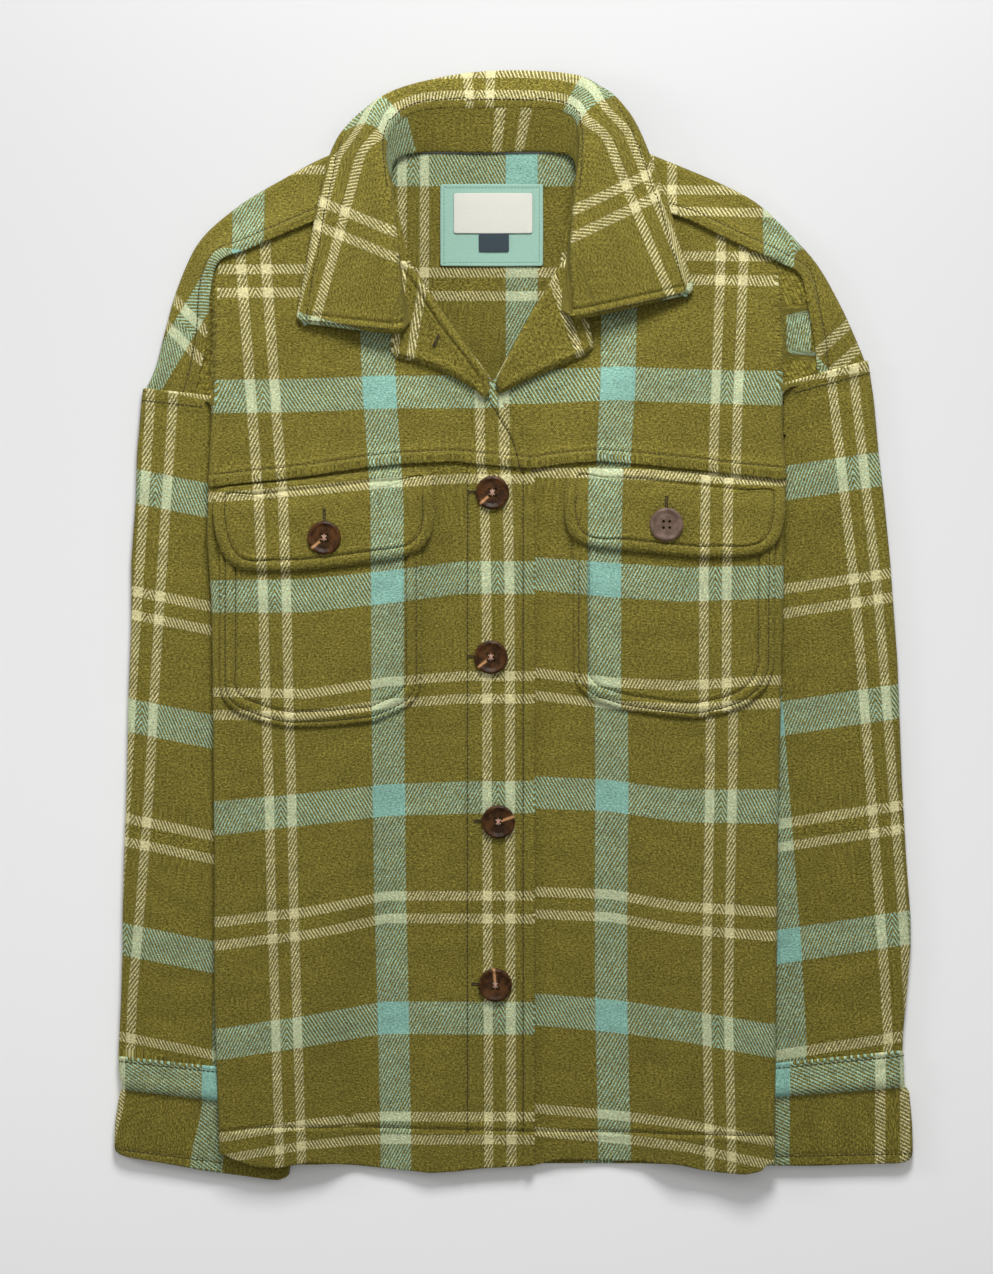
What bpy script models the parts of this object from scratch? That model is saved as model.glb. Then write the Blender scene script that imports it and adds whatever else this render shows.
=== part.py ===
"""Plaid flannel shirt-jacket laid face up, both sleeves folded down beside the body.

The jacket rests on the floor, front up.  X runs across it, Y from hem to collar and
Z up.  All sizes below are millimetres; the mesh is written in metres.
"""

import math

import bmesh
import bpy
import numpy as np
from mathutils import Matrix

for old in list(bpy.data.objects):
    bpy.data.objects.remove(old, do_unlink=True)

MM = 0.001

# Cloth and the way the layers lie on each other
CLOTH = 2.2
DOUBLE_CLOTH = 3.0
SEAM_GAP = 0.3
SLEEVE_HEIGHT = 7.4
OVER_SLEEVE = 8.0
LAYER_GAP = 0.5
SIDE_GAP = 2.6
SIDE_TURN_UNDER = 18.0
BACK_SEAM_Y = 150.0
RAMP = 36.0

# Side folds of the body. Columns: y, left fold x, right fold x
SIDE_FOLDS = (
    (-372, -199, 178), (-343, -200, 178), (-255, -203, 179), (-153, -203, 180),
    (-51, -204, 182), (17, -205, 184), (58, -208, 184), (99, -207, 186),
    (139, -205, 183), (194, -204, 184), (247, -204, 181), (300, -204, 181),
)

# Sleeves lying down the sides. Columns: y, left outer, left inner, right inner, right outer
SLEEVE_EDGES = (
    (165, -251, -57, 40, 243), (119, -256, -65, 47, 249), (44, -260, -78, 58, 256),
    (-51, -262, -93, 73, 262), (-160, -265, -111, 91, 268), (-220, -266, -122, 103, 271),
    (-255, -267, -129, 109, 267), (-300, -269, -137, 118, 265),
)

# Cuffs. Columns: share of the way down, left outer, left inner, right inner, right outer
CUFF_EDGES = (
    (0.0, -269, -138, 118, 266), (0.25, -267, -140, 120, 267),
    (0.5, -271, -146, 124, 271), (0.9, -272, -152, 130, 273), (1.0, -268, -156, 134, 270),
)

# Hem and chest seam of the fronts. Columns: x, hem y, chest seam y
FRONT_LINES = (
    (-208, -350, 95), (-192, -361, 97), (-162, -368, 99), (-138, -364, 102), (-97, -368, 107),
    (-56, -372, 111), (-22, -369, 109), (14, -366, 109), (59, -364, 112), (114, -366, 107),
    (141, -371, 104), (168, -370, 102), (186, -352, 100),
)

# Front edges above the chest seam. Columns: y, left front's edge x, right front's edge x
FRONT_EDGES = (
    (100, 14, -31), (119, 9, -30), (139, -1, -25), (153, -10, -18), (168, -16, -11),
    (186, -29, -1), (204, -43, 8), (222, -55, 20), (247, -71, 33), (292, -82, 42),
)

# Shoulder lines and the seams in front of them, outwards from the neck.
# Columns: shoulder fold x, y, front seam x, y, lower back edge x, y
LEFT_SHOULDER = (
    (-98, 330, -84, 296, -38, 150), (-130, 318, -112, 285, -52, 150),
    (-158, 303, -145, 271, -70, 150), (-186, 286, -180, 256, -95, 150),
    (-213, 262, -200, 246, -125, 150), (-228, 231, -200, 226, -150, 150),
    (-236, 204, -200, 201, -172, 150), (-243, 177, -200, 176, -190, 155),
    (-250, 161, -200, 155, -200, 155),
)
RIGHT_SHOULDER = (
    (70, 330, 44, 298, 0, 150), (103, 317, 80, 287, 18, 150), (141, 301, 114, 278, 40, 150),
    (168, 286, 154, 259, 65, 150), (193, 262, 178, 246, 95, 150),
    (209, 243, 178, 232, 120, 150), (224, 216, 178, 212, 145, 150),
    (234, 194, 178, 187, 167, 163), (240, 179, 178, 163, 178, 163),
)
NECK_BACK_Y = 321.0
SHOULDER_RISE = 6.6

# Collar, from the left front round the back of the neck to the right front.
# Columns: neck seam x, y, z, stand's top x, y, z, roll x, y, z, leaf edge x, y, z
COLLAR = (
    (-71, 206, 15, -76, 199, 21, -80, 198, 23, -147, 205, 17),
    (-77, 240, 15, -78, 239, 25, -82, 240, 28, -140, 243, 17),
    (-82, 285, 14, -82, 285, 27, -87, 287, 30, -130, 294, 15),
    (-82, 312, 10, -87, 326, 25, -93, 335, 28, -117, 332, 10),
    (-62, 319, 4, -68, 349, 18, -76, 359, 18, -78, 357, 3),
    (-21, 319, 4, -20, 353, 15, -20, 373, 11, -20, 340, 3),
    (26, 319, 4, 34, 350, 18, 42, 366, 18, 44, 364, 3),
    (43, 312, 10, 46, 330, 25, 53, 339, 28, 77, 350, 10),
    (41, 280, 14, 42, 282, 27, 47, 284, 30, 101, 296, 15),
    (37, 244, 15, 40, 243, 25, 45, 244, 28, 115, 252, 17),
    (34, 214, 15, 43, 208, 21, 47, 208, 23, 123, 225, 17),
)
STAND_WALL = 2.6
LEAF_WALL = 3.2
LEAF_START = 2.0

# Lapels: the fronts' tops turned outwards. Columns: x, y
LEFT_LAPEL = (
    (-72, 244), (-65, 235), (-56, 219), (-44, 201), (-30, 183), (-19, 168), (-20, 157),
    (-33, 165), (-43, 171), (-56, 177), (-70, 181), (-80, 186), (-79, 215), (-75, 244),
)
RIGHT_LAPEL = (
    (35, 244), (23, 222), (11, 203), (2, 187), (-6, 173), (-7, 161), (5, 165), (18, 171),
    (32, 177), (42, 182), (52, 188), (50, 200), (44, 225), (40, 244),
)

# Pockets and the flaps over them. Columns: x, y
LEFT_POCKET = (
    (-198, 90), (-198, -44), (-194, -53), (-186, -59), (-167, -66), (-152, -69), (-124, -68),
    (-94, -65), (-74, -56), (-65, -48), (-63, -37), (-63, 98),
)
RIGHT_POCKET = (
    (42, 104), (42, -31), (44, -41), (53, -50), (75, -57), (103, -61), (124, -63), (144, -59),
    (158, -54), (170, -44), (176, -31), (177, 96),
)
LEFT_FLAP = (
    (-202, 93), (-203, 78), (-201, 62), (-197, 49), (-190, 40), (-180, 37), (-145, 37),
    (-110, 41), (-77, 46), (-64, 50), (-56, 60), (-54, 72), (-55, 106), (-97, 104), (-131, 100),
)
RIGHT_FLAP = (
    (38, 108), (36, 90), (35, 76), (38, 63), (44, 56), (54, 53), (86, 50), (127, 46),
    (160, 47), (172, 50), (180, 58), (184, 74), (184, 97), (141, 101), (86, 107),
)

# Patch with the woven label and the size tag on the back neck. Columns: x, y
NECK_PATCH = ((-49, 245), (20, 245), (20, 300), (-49, 300))
WOVEN_LABEL = ((-40, 267), (13, 267), (13, 294), (-40, 294))
SIZE_TAG = ((-23, 254), (-3, 254), (-3, 266), (-23, 266))
PATCH_WALL = 1.2
LABEL_WALL = 0.6

# Buttons. Columns: name, x, y
BUTTONS = (
    ("button_front_1", -14, 90), ("button_front_2", -15, -22),
    ("button_front_3", -10, -134), ("button_front_4", -12, -245),
    ("button_flap_left", -128, 59), ("button_flap_right", 104, 68),
)
BUTTON_RADIUS = 11.6
BUTTON_HEIGHT = 3.4
BUTTON_DISH_RADIUS = 7.6
BUTTON_DISH_DEPTH = 0.9
BUTTON_STEPS = 16
THREAD_HOLE_RADIUS = 1.1
THREAD_HOLE_OFFSET = 2.1

pieces = bpy.data.collections.new("shacket")
cutters = bpy.data.collections.new("shacket_cutters")
bpy.context.scene.collection.children.link(pieces)
bpy.context.scene.collection.children.link(cutters)


def material(name, colour, roughness):
    """One plain material."""
    made = bpy.data.materials.new(name)
    made.use_nodes = True
    shader = made.node_tree.nodes["Principled BSDF"]
    shader.inputs["Base Color"].default_value = (*colour, 1.0)
    shader.inputs["Roughness"].default_value = roughness
    return made


FLANNEL = material("plaid_flannel", (0.36, 0.34, 0.15), 0.95)
PATCH_TWILL = material("patch_twill", (0.20, 0.50, 0.46), 0.9)
LABEL_WEAVE = material("label_weave", (0.72, 0.67, 0.52), 0.8)
TAG_WEAVE = material("tag_weave", (0.05, 0.07, 0.12), 0.8)
BUTTON_RESIN = material("button_resin", (0.10, 0.055, 0.035), 0.35)


def table(rows):
    """The columns of a short table as arrays."""
    return np.array(rows, float).T


def smooth_step(start, end, value):
    """0 before start, 1 after end, with a soft change between."""
    share = np.clip((value - start) / (end - start), 0.0, 1.0)
    return share * share * (3.0 - 2.0 * share)


def side_folds(y):
    """Left and right fold of the body at height y."""
    rows = table(SIDE_FOLDS)
    return np.interp(y, rows[0], rows[1]), np.interp(y, rows[0], rows[2])


def raised_edges(y):
    """Where the fronts' raised sides begin to fall: over the sleeve, then the shoulder."""
    rows = table(SLEEVE_EDGES)[:, ::-1]
    left = np.interp(y, rows[0], rows[2])
    right = np.interp(y, rows[0], rows[3])
    upper = smooth_step(118.0, 235.0, y)
    return left + upper * (-152.0 - left), right + upper * (128.0 - right)


def over_sleeves(x, y):
    """1 where the hidden half of a sleeve lies below, falling softly to 0 beside it."""
    left, right = raised_edges(y)
    on_left = 1.0 - smooth_step(left, left + RAMP, x)
    on_right = smooth_step(right - RAMP, right, x)
    return np.maximum(on_left, on_right)


def back_level(x, y):
    """Middle of the back panel's cloth: flat on the floor, lifted where it crosses a sleeve."""
    below_seam = 1.0 - smooth_step(126.0, BACK_SEAM_Y - 2.0, y)
    return CLOTH / 2 + OVER_SLEEVE * over_sleeves(x, y) * below_seam


def front_level(x, y, laps_over):
    """Middle of a front panel's cloth, lifted at the sides, the closing and the neck."""
    fold_left, fold_right = side_folds(y)
    at_side = np.maximum(1.0 - smooth_step(8.0, 46.0, x - fold_left),
                         1.0 - smooth_step(8.0, 46.0, fold_right - x))
    spread = SIDE_GAP * at_side * (1.0 - 0.85 * smooth_step(200.0, 246.0, y))
    neck_lift = 4.4 * smooth_step(126.0, 250.0, y) * (1.0 - over_sleeves(x, y))
    level = CLOTH * 1.5 + LAYER_GAP + OVER_SLEEVE * over_sleeves(x, y) + spread + neck_lift
    if laps_over:
        level = level + (CLOTH + LAYER_GAP) * smooth_step(-72.0, -36.0, x)
    return level


def grid_normals(points):
    """Upward normals at the nodes of a grid of points."""
    along = np.gradient(points, axis=0)
    across = np.gradient(points, axis=1)
    normals = np.cross(across, along)
    normals = normals * np.sign(normals[..., 2:])
    return normals / np.linalg.norm(normals, axis=2, keepdims=True)


def add_object(name, mesh, look, collection=None):
    """Link a mesh as one named object."""
    made = bpy.data.objects.new(name, mesh)
    (collection or pieces).objects.link(made)
    if look:
        mesh.materials.append(look)
    return made


def apply_modifiers(thing):
    """Replace an object's mesh by its modified form."""
    bpy.context.view_layer.update()
    graph = bpy.context.evaluated_depsgraph_get()
    shaped = bpy.data.meshes.new_from_object(thing.evaluated_get(graph))
    thing.modifiers.clear()
    thing.data = shaped


def cloth(name, points, wall=CLOTH, look=None, closed=False, keep=None):
    """Sheet of cloth through a grid of points, with its thickness on both sides."""
    rows, columns = points.shape[:2]
    sheet = bmesh.new()
    nodes = [[sheet.verts.new(point * MM) for point in row] for row in points]
    last = columns if closed else columns - 1
    for row in range(rows - 1):
        for column in range(last):
            if keep is not None and not keep(row, column):
                continue
            after = (column + 1) % columns
            corners = (nodes[row][column], nodes[row][after],
                       nodes[row + 1][after], nodes[row + 1][column])
            sheet.faces.new(corners)
    loose = [node for node in sheet.verts if not node.link_faces]
    bmesh.ops.delete(sheet, geom=loose, context="VERTS")
    bmesh.ops.triangulate(sheet, faces=sheet.faces[:], quad_method="FIXED")
    mesh = bpy.data.meshes.new(name)
    sheet.to_mesh(mesh)
    sheet.free()
    made = add_object(name, mesh, look or FLANNEL)
    thick = made.modifiers.new("thickness", "SOLIDIFY")
    thick.thickness = wall * MM
    thick.offset = 0.0
    apply_modifiers(made)
    made.data.shade_smooth()
    made.data.set_sharp_from_angle(angle=math.radians(40.0))
    return made


def outline_block(name, outline):
    """Upright block with the outline of a sewn-on piece."""
    block = bmesh.new()
    corners = [block.verts.new((x * MM, y * MM, -5 * MM)) for x, y in outline]
    base = block.faces.new(corners)
    grown = bmesh.ops.extrude_face_region(block, geom=[base])
    raised = [item for item in grown["geom"] if isinstance(item, bmesh.types.BMVert)]
    bmesh.ops.translate(block, verts=raised, vec=(0.0, 0.0, 60 * MM))
    bmesh.ops.recalc_face_normals(block, faces=block.faces[:])
    mesh = bpy.data.meshes.new(name)
    block.to_mesh(mesh)
    block.free()
    made = add_object(name, mesh, None, cutters)
    made.hide_render = True
    made.display_type = "WIRE"
    return made


def combine(target, cutter, operation):
    """Keep the part inside the cutter, or take the cutter away."""
    cut = target.modifiers.new(operation.lower(), "BOOLEAN")
    cut.operation = operation
    cut.solver = "EXACT"
    cut.object = cutter
    apply_modifiers(target)


def laid_on(name, panel, outline, height, wall, look=None):
    """Piece cut to an outline and laid on a panel, following the panel's own nodes.

    height is the distance from the middle of the panel's cloth to the piece's own.
    """
    across = [x for x, _ in outline]
    along = [y for _, y in outline]
    reach = ((panel[..., 0] > min(across)) & (panel[..., 0] < max(across))
             & (panel[..., 1] > min(along)) & (panel[..., 1] < max(along)))
    if not reach.any():
        reach[:] = True
    rows = np.flatnonzero(reach.any(axis=1))
    columns = np.flatnonzero(reach.any(axis=0))
    first_row, last_row = max(rows[0] - 2, 0), rows[-1] + 3
    first_column, last_column = max(columns[0] - 2, 0), columns[-1] + 3
    lifted = panel + grid_normals(panel) * height
    made = cloth(name, lifted[first_row:last_row, first_column:last_column], wall, look)
    combine(made, outline_block(name + "_outline", outline), "INTERSECT")
    return made


def body_columns(y, y_fold, side):
    """The x of the columns shared by the back and the lower fronts, from the fold inwards."""
    left_fold, right_fold = side_folds(y_fold)
    left_sleeve, right_sleeve = raised_edges(y)
    if side == "left":
        start, rise = left_fold + 1.0, left_sleeve
        inner = (-34.0, -20.0, -4.0, 14.0)
        sign = 1.0
    else:
        start, rise = right_fold - 1.0, right_sleeve
        inner = (14.0, -4.0, -20.0, -31.0)
        sign = -1.0
    flat = [start + sign * step for step in (4.0, 18.0, 34.0)]
    between = (flat[-1] + rise) / 2
    ramp = [rise + sign * step for step in (1.0, 12.0, 24.0, 35.0)]
    return flat + [between] + ramp + list(inner)


# Back panel, from the hem to the back yoke seam
BACK_ROWS = (-366, -300, -240, -170, -90, -10, 60, 105, 122, 131, 140, 149.7)
back_points = []
for y in BACK_ROWS:
    left = body_columns(y, y, "left")[1:-2]
    right = body_columns(y, y, "right")[1:-2]
    x = np.array(left + right[::-1])
    x[0] += 1.3
    x[-1] -= 1.3
    back_points.append(np.stack([x, np.full(x.size, float(y)), back_level(x, y)], axis=1))
cloth("back_body", np.array(back_points))


def turn_under(point, side, depth):
    """Fold at a body side: round half a turn, then in below the front."""
    sign = 1.0 if side == "left" else -1.0
    x_fold, y, z_top = point
    z_low = OVER_SLEEVE + CLOTH / 2
    radius = (z_top - z_low) / 2
    centre = x_fold + sign * (CLOTH / 2 + radius)
    angles = np.radians(np.linspace(90.0, 270.0, 6))
    arc = [(centre + sign * radius * math.cos(angle), y, z_low + radius + radius * math.sin(angle))
           for angle in angles]
    return [(x_fold + sign * depth, y, z_low)] + arc[::-1]


def front_panel(name, side, rows, line_low, line_high, inner_edge, laps_over):
    """Front panel between two seams, from its turned-under side fold to its free edge."""
    points = []
    for share in rows:
        middle_low = np.interp(-60.0 if side == "left" else 60.0, *line_low)
        middle_high = np.interp(-60.0 if side == "left" else 60.0, *line_high)
        guess = middle_low + share * (middle_high - middle_low)
        columns = body_columns(guess, guess, side)
        free_edge = inner_edge(guess)
        sign = 1.0 if side == "left" else -1.0
        ramp_end = columns[7]
        columns = columns[:8] + [ramp_end + part * (free_edge - ramp_end)
                                 for part in (0.2, 0.47, 0.73, 1.0)]
        x = np.array(columns)
        low = np.interp(x, *line_low)
        high = np.interp(x, *line_high)
        y = low + share * (high - low)
        z = front_level(x, y, laps_over)
        flat = np.stack([x, y, z], axis=1)
        fold_x = side_folds(guess)[0 if side == "left" else 1]
        fold = turn_under((fold_x, y[0], z[0]), side, SIDE_TURN_UNDER)
        flat[0, 0] = max(flat[0, 0] * sign, (fold[-1][0] + sign * 1.5) * sign) * sign
        points.append(np.array(fold + list(flat)))
    grid = np.array(points)
    cloth(name, grid)
    return grid[:, 7:]


front_lines = table(FRONT_LINES)
hem_line = (front_lines[0], front_lines[1])
chest_line = (front_lines[0], front_lines[2] - SEAM_GAP)
chest_line_upper = (front_lines[0], front_lines[2])
left_yoke = table(LEFT_SHOULDER[:5])[:, ::-1]
right_yoke = table(RIGHT_SHOULDER[:5])
left_yoke_line = (left_yoke[2], left_yoke[3] - SEAM_GAP - 0.5)
right_yoke_line = (right_yoke[2], right_yoke[3] - SEAM_GAP - 0.5)
edges = table(FRONT_EDGES)

LOWER_ROWS = (0.0, 0.05, 0.13, 0.23, 0.34, 0.45, 0.56, 0.67, 0.78, 0.87, 0.94, 1.0)
UPPER_ROWS = (0.0, 0.1, 0.2, 0.32, 0.44, 0.56, 0.68, 0.8, 0.9, 1.0)

lower_left = front_panel("front_lower_left", "left", LOWER_ROWS, hem_line, chest_line,
                         lambda y: 14.0, True)
lower_right = front_panel("front_lower_right", "right", LOWER_ROWS, hem_line, chest_line,
                          lambda y: -31.0, False)
upper_left = front_panel("front_upper_left", "left", UPPER_ROWS, chest_line_upper, left_yoke_line,
                         lambda y: float(np.interp(y, edges[0], edges[1])), True)
upper_right = front_panel("front_upper_right", "right", UPPER_ROWS, chest_line_upper,
                          right_yoke_line,
                          lambda y: float(np.interp(y, edges[0], edges[2])), False)

# Back yoke: flat under the neck, rolled over each shoulder and down to the front seam
BACK_SHARES = (0.0, 0.2, 0.45, 0.7, 0.9)
ROLL_ANGLES = (-90.0, -54.0, -18.0, 18.0, 54.0, 90.0)
FRONT_SHARES = (0.35, 0.7, 1.0)


def shoulder_column(fold_x, fold_y, seam_x, seam_y, back_x, back_y):
    """One run of cloth from the back seam, over the shoulder fold, to the front seam."""
    fold = np.array([fold_x, fold_y])
    seam = np.array([seam_x, seam_y])
    back = np.array([back_x, back_y])
    inward = (seam - fold) / np.linalg.norm(seam - fold)
    radius = (SHOULDER_RISE - CLOTH) / 2 + 0.4
    start = fold + inward * (radius + CLOTH / 2)
    column = [(*(back + share * (start - back)), CLOTH / 2) for share in BACK_SHARES]
    for angle in np.radians(ROLL_ANGLES):
        spot = start - inward * radius * math.cos(angle)
        column.append((*spot, CLOTH / 2 + radius + radius * math.sin(angle)))
    on_front = smooth_step(-195.0, -165.0, seam_x) * (1.0 - smooth_step(150.0, 172.0, seam_x))
    crest = CLOTH / 2 + 2 * radius
    target = crest + on_front * (front_level(np.array(seam_x), np.array(seam_y), False) - crest)
    for share in FRONT_SHARES:
        spot = start + share * (seam - start)
        column.append((*spot, crest + share * (float(target) - crest)))
    return column


yoke_columns = []
for row in LEFT_SHOULDER[::-1]:
    yoke_columns.append(shoulder_column(*row))
neck_shares = BACK_SHARES + (1.0,)
for neck_x, low_x in ((-86.0, -32.0), (-50.0, -26.0), (-14.0, -14.0), (22.0, -8.0), (44.0, -4.0)):
    run = [(low_x + share * (neck_x - low_x),
            BACK_SEAM_Y + share * (NECK_BACK_Y - BACK_SEAM_Y), CLOTH / 2)
           for share in neck_shares]
    yoke_columns.append(run + [run[-1]] * (len(yoke_columns[0]) - len(run)))
for row in RIGHT_SHOULDER:
    yoke_columns.append(shoulder_column(*row))
yoke_grid = np.array(yoke_columns).transpose(1, 0, 2)
FIRST_NECK = len(LEFT_SHOULDER)
LAST_NECK = FIRST_NECK + 4
cloth("back_yoke", yoke_grid,
      keep=lambda row, column: row < 5 or not FIRST_NECK - 1 <= column <= LAST_NECK)


def flat_tube(name, sections, height, wall):
    """Sleeve pressed flat: closed sections with round outer and inner folds.

    Each section holds its left and right edge and the y at each of them.
    """
    radius = (height - wall) / 2
    points = []
    for x_low, x_high, y_low, y_high in sections:
        angles = np.radians(np.linspace(-90.0, 90.0, 5))
        left = x_low + wall / 2 + radius
        right = x_high - wall / 2 - radius
        shares = np.linspace(0.0, 1.0, 6)[1:-1]
        ring = [(left - radius * math.cos(a), radius + wall / 2 - radius * math.sin(a))
                for a in angles]
        ring += [(left + share * (right - left), wall / 2) for share in shares]
        ring += [(right + radius * math.cos(a), radius + wall / 2 + radius * math.sin(a))
                 for a in angles]
        ring += [(right + share * (left - right), height - wall / 2) for share in shares]
        ring = np.array(ring)
        y = np.interp(ring[:, 0], (x_low, x_high), (y_low, y_high))
        points.append(np.stack([ring[:, 0], y, ring[:, 1]], axis=1))
    return cloth(name, np.array(points)[:, ::-1], wall, closed=True)


SLEEVE_ROWS = (1.0, 0.93, 0.86, 0.76, 0.64, 0.52, 0.4, 0.28, 0.18, 0.1, 0.04, 0.0)
sleeve_rows = table(SLEEVE_EDGES)[:, ::-1]
cuff_rows = table(CUFF_EDGES)

# Armhole seam, cuff seam and cuff end. Columns: y at the outer edge, y at the inner edge
SLEEVE_ENDS = {"left": ((160.6, 139.3), (-296.0, -310.0), (-362.0, -378.0)),
               "right": ((179.6, 127.0), (-292.0, -307.0), (-366.0, -367.0))}
HIDDEN_ARMHOLE_Y = 122.0


def sleeve(side):
    """Sleeve from the armhole to the cuff, with the cuff as its own piece."""
    (arm_out, arm_in), (seam_out, seam_in), (end_out, end_in) = SLEEVE_ENDS[side]
    sections = []
    for share in SLEEVE_ROWS:
        y_out = seam_out + share * (arm_out - SEAM_GAP - seam_out)
        y_in = seam_in + share * (arm_in - SEAM_GAP - seam_in)
        if side == "left":
            edge_low = np.interp(y_out, sleeve_rows[0], sleeve_rows[1])
            edge_high = np.interp(y_in, sleeve_rows[0], sleeve_rows[2])
            sections.append((edge_low, edge_high, y_out, y_in))
        else:
            edge_low = np.interp(y_in, sleeve_rows[0], sleeve_rows[3])
            edge_high = np.interp(y_out, sleeve_rows[0], sleeve_rows[4])
            sections.append((edge_low, edge_high, y_in, y_out))
    made = flat_tube("sleeve_" + side, sections, SLEEVE_HEIGHT, CLOTH)
    inner = -201.0 if side == "left" else 181.0
    far = -30.0 if side == "left" else 10.0
    hidden = ((inner, HIDDEN_ARMHOLE_Y), (far, HIDDEN_ARMHOLE_Y), (far, 190.0), (inner, 190.0))
    combine(made, outline_block("armhole_" + side, hidden), "DIFFERENCE")

    sections = []
    for share in (0.0, 0.2, 0.4, 0.55, 0.75, 0.92, 1.0):
        y_out = seam_out - SEAM_GAP + share * (end_out - seam_out)
        y_in = seam_in - SEAM_GAP + share * (end_in - seam_in)
        edge = [float(np.interp(share, cuff_rows[0], column)) for column in cuff_rows[1:]]
        if side == "left":
            sections.append((edge[0], edge[1], y_out, y_in))
        else:
            sections.append((edge[2], edge[3], y_in, y_out))
    flat_tube("cuff_" + side, sections, SLEEVE_HEIGHT + 0.2, CLOTH + 0.4)


sleeve("left")
sleeve("right")

# Lapels, pockets and flaps lie on the fronts
on_cloth = CLOTH / 2 + SEAM_GAP
laid_on("lapel_left", upper_left, LEFT_LAPEL, on_cloth + DOUBLE_CLOTH / 2, DOUBLE_CLOTH)
laid_on("lapel_right", upper_right, RIGHT_LAPEL, on_cloth + DOUBLE_CLOTH / 2, DOUBLE_CLOTH)
laid_on("pocket_left", lower_left, LEFT_POCKET, on_cloth + CLOTH / 2, CLOTH)
laid_on("pocket_right", lower_right, RIGHT_POCKET, on_cloth + CLOTH / 2, CLOTH)
flap_height = on_cloth + CLOTH + SEAM_GAP + DOUBLE_CLOTH / 2
laid_on("flap_left", lower_left, LEFT_FLAP, flap_height, DOUBLE_CLOTH)
laid_on("flap_right", lower_right, RIGHT_FLAP, flap_height, DOUBLE_CLOTH)

# Patch and labels lie flat on the inside of the back yoke
flat_back = np.array([[(x, y, CLOTH / 2) for x in (-60.0, -13.0, 40.0)]
                      for y in (230.0, 260.0, 310.0)])
patch_height = on_cloth + PATCH_WALL / 2
label_height = on_cloth + PATCH_WALL + SEAM_GAP + LABEL_WALL / 2
laid_on("neck_patch", flat_back, NECK_PATCH, patch_height, PATCH_WALL, PATCH_TWILL)
laid_on("woven_label", flat_back, WOVEN_LABEL, label_height, LABEL_WALL, LABEL_WEAVE)
laid_on("size_tag", flat_back, SIZE_TAG, label_height, LABEL_WALL, TAG_WEAVE)

# Collar: sections from the neck seam up the stand, over the roll and out to the leaf's edge
COLLAR_SECTIONS = 27
STAND_SHARES = (0.0, 0.33, 0.67, 1.0)
LEAF_SHARES = (0.0, 0.15, 0.3, 0.42, 0.55, 0.7, 0.85, 1.0)


def spline(points, values):
    """Smooth curve through points, read at values counted in points."""
    points = np.asarray(points, float)
    ends = np.vstack([2 * points[0] - points[1], points, 2 * points[-1] - points[-2]])
    result = []
    for value in values:
        index = min(int(value), len(points) - 2)
        t = value - index
        before, start, end, after = ends[index:index + 4]
        result.append(0.5 * (2 * start + (end - before) * t
                             + (2 * before - 5 * start + 4 * end - after) * t ** 2
                             + (3 * start - before - 3 * end + after) * t ** 3))
    return np.array(result)


collar = spline(COLLAR, np.linspace(0.0, len(COLLAR) - 1.0, COLLAR_SECTIONS))
stand_points = []
leaf_points = []
for section in collar:
    neck, top, roll, edge = section.reshape(4, 3)
    stand_points.append([neck + share * (top - neck) for share in STAND_SHARES])
    start = top + (top - neck) / np.linalg.norm(top - neck) * LEAF_START
    fall = roll + 0.3 * (edge - roll) + 0.18 * (roll - top) * 2.0
    bend = spline([start, roll, fall, edge], np.array(LEAF_SHARES) * 3.0)
    leaf_points.append(bend)
cloth("collar_stand", np.array(stand_points), STAND_WALL)
cloth("collar_leaf", np.array(leaf_points), LEAF_WALL)


def button(name, x, y, z):
    """Four-hole button with a rolled rim and a dished middle, turned from one profile."""
    profile = ((0.0, 0.0), (BUTTON_RADIUS - 1.2, 0.0), (BUTTON_RADIUS, 1.1),
               (BUTTON_RADIUS - 0.4, BUTTON_HEIGHT - 0.5), (BUTTON_RADIUS - 1.6, BUTTON_HEIGHT),
               (BUTTON_DISH_RADIUS, BUTTON_HEIGHT - BUTTON_DISH_DEPTH),
               (0.0, BUTTON_HEIGHT - BUTTON_DISH_DEPTH - 0.2))
    mesh = bpy.data.meshes.new(name)
    mesh.from_pydata([(r * MM, 0.0, h * MM) for r, h in profile],
                     [(index, index + 1) for index in range(len(profile) - 1)], [])
    made = add_object(name, mesh, BUTTON_RESIN)
    turn = made.modifiers.new("turn", "SCREW")
    turn.steps = BUTTON_STEPS
    turn.render_steps = BUTTON_STEPS
    turn.use_merge_vertices = True
    turn.merge_threshold = 0.00005
    turn.use_normal_calculate = True
    apply_modifiers(made)
    holes = bpy.data.meshes.new(name + "_holes")
    drills = bmesh.new()
    for across in (-THREAD_HOLE_OFFSET, THREAD_HOLE_OFFSET):
        for along in (-THREAD_HOLE_OFFSET, THREAD_HOLE_OFFSET):
            made_drill = bmesh.ops.create_cone(
                drills, cap_ends=True, segments=8, radius1=THREAD_HOLE_RADIUS * MM,
                radius2=THREAD_HOLE_RADIUS * MM, depth=3 * BUTTON_HEIGHT * MM)
            bmesh.ops.translate(drills, verts=made_drill["verts"],
                                vec=(across * MM, along * MM, BUTTON_HEIGHT / 2 * MM))
    drills.to_mesh(holes)
    drills.free()
    cutter = add_object(name + "_drills", holes, None, cutters)
    cutter.hide_render = True
    cutter.display_type = "WIRE"
    combine(made, cutter, "DIFFERENCE")
    made.data.transform(Matrix.Translation((x * MM, y * MM, z * MM)))
    made.data.shade_smooth()
    made.data.set_sharp_from_angle(angle=math.radians(35.0))
    return made


def level_under(panel, x, y):
    """Height of a panel's nodes nearest a spot."""
    distance = np.hypot(panel[..., 0] - x, panel[..., 1] - y)
    near = distance < BUTTON_RADIUS + 22.0
    return panel[near][:, 2].max() if near.any() else panel.reshape(-1, 3)[distance.argmin(), 2]


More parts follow.
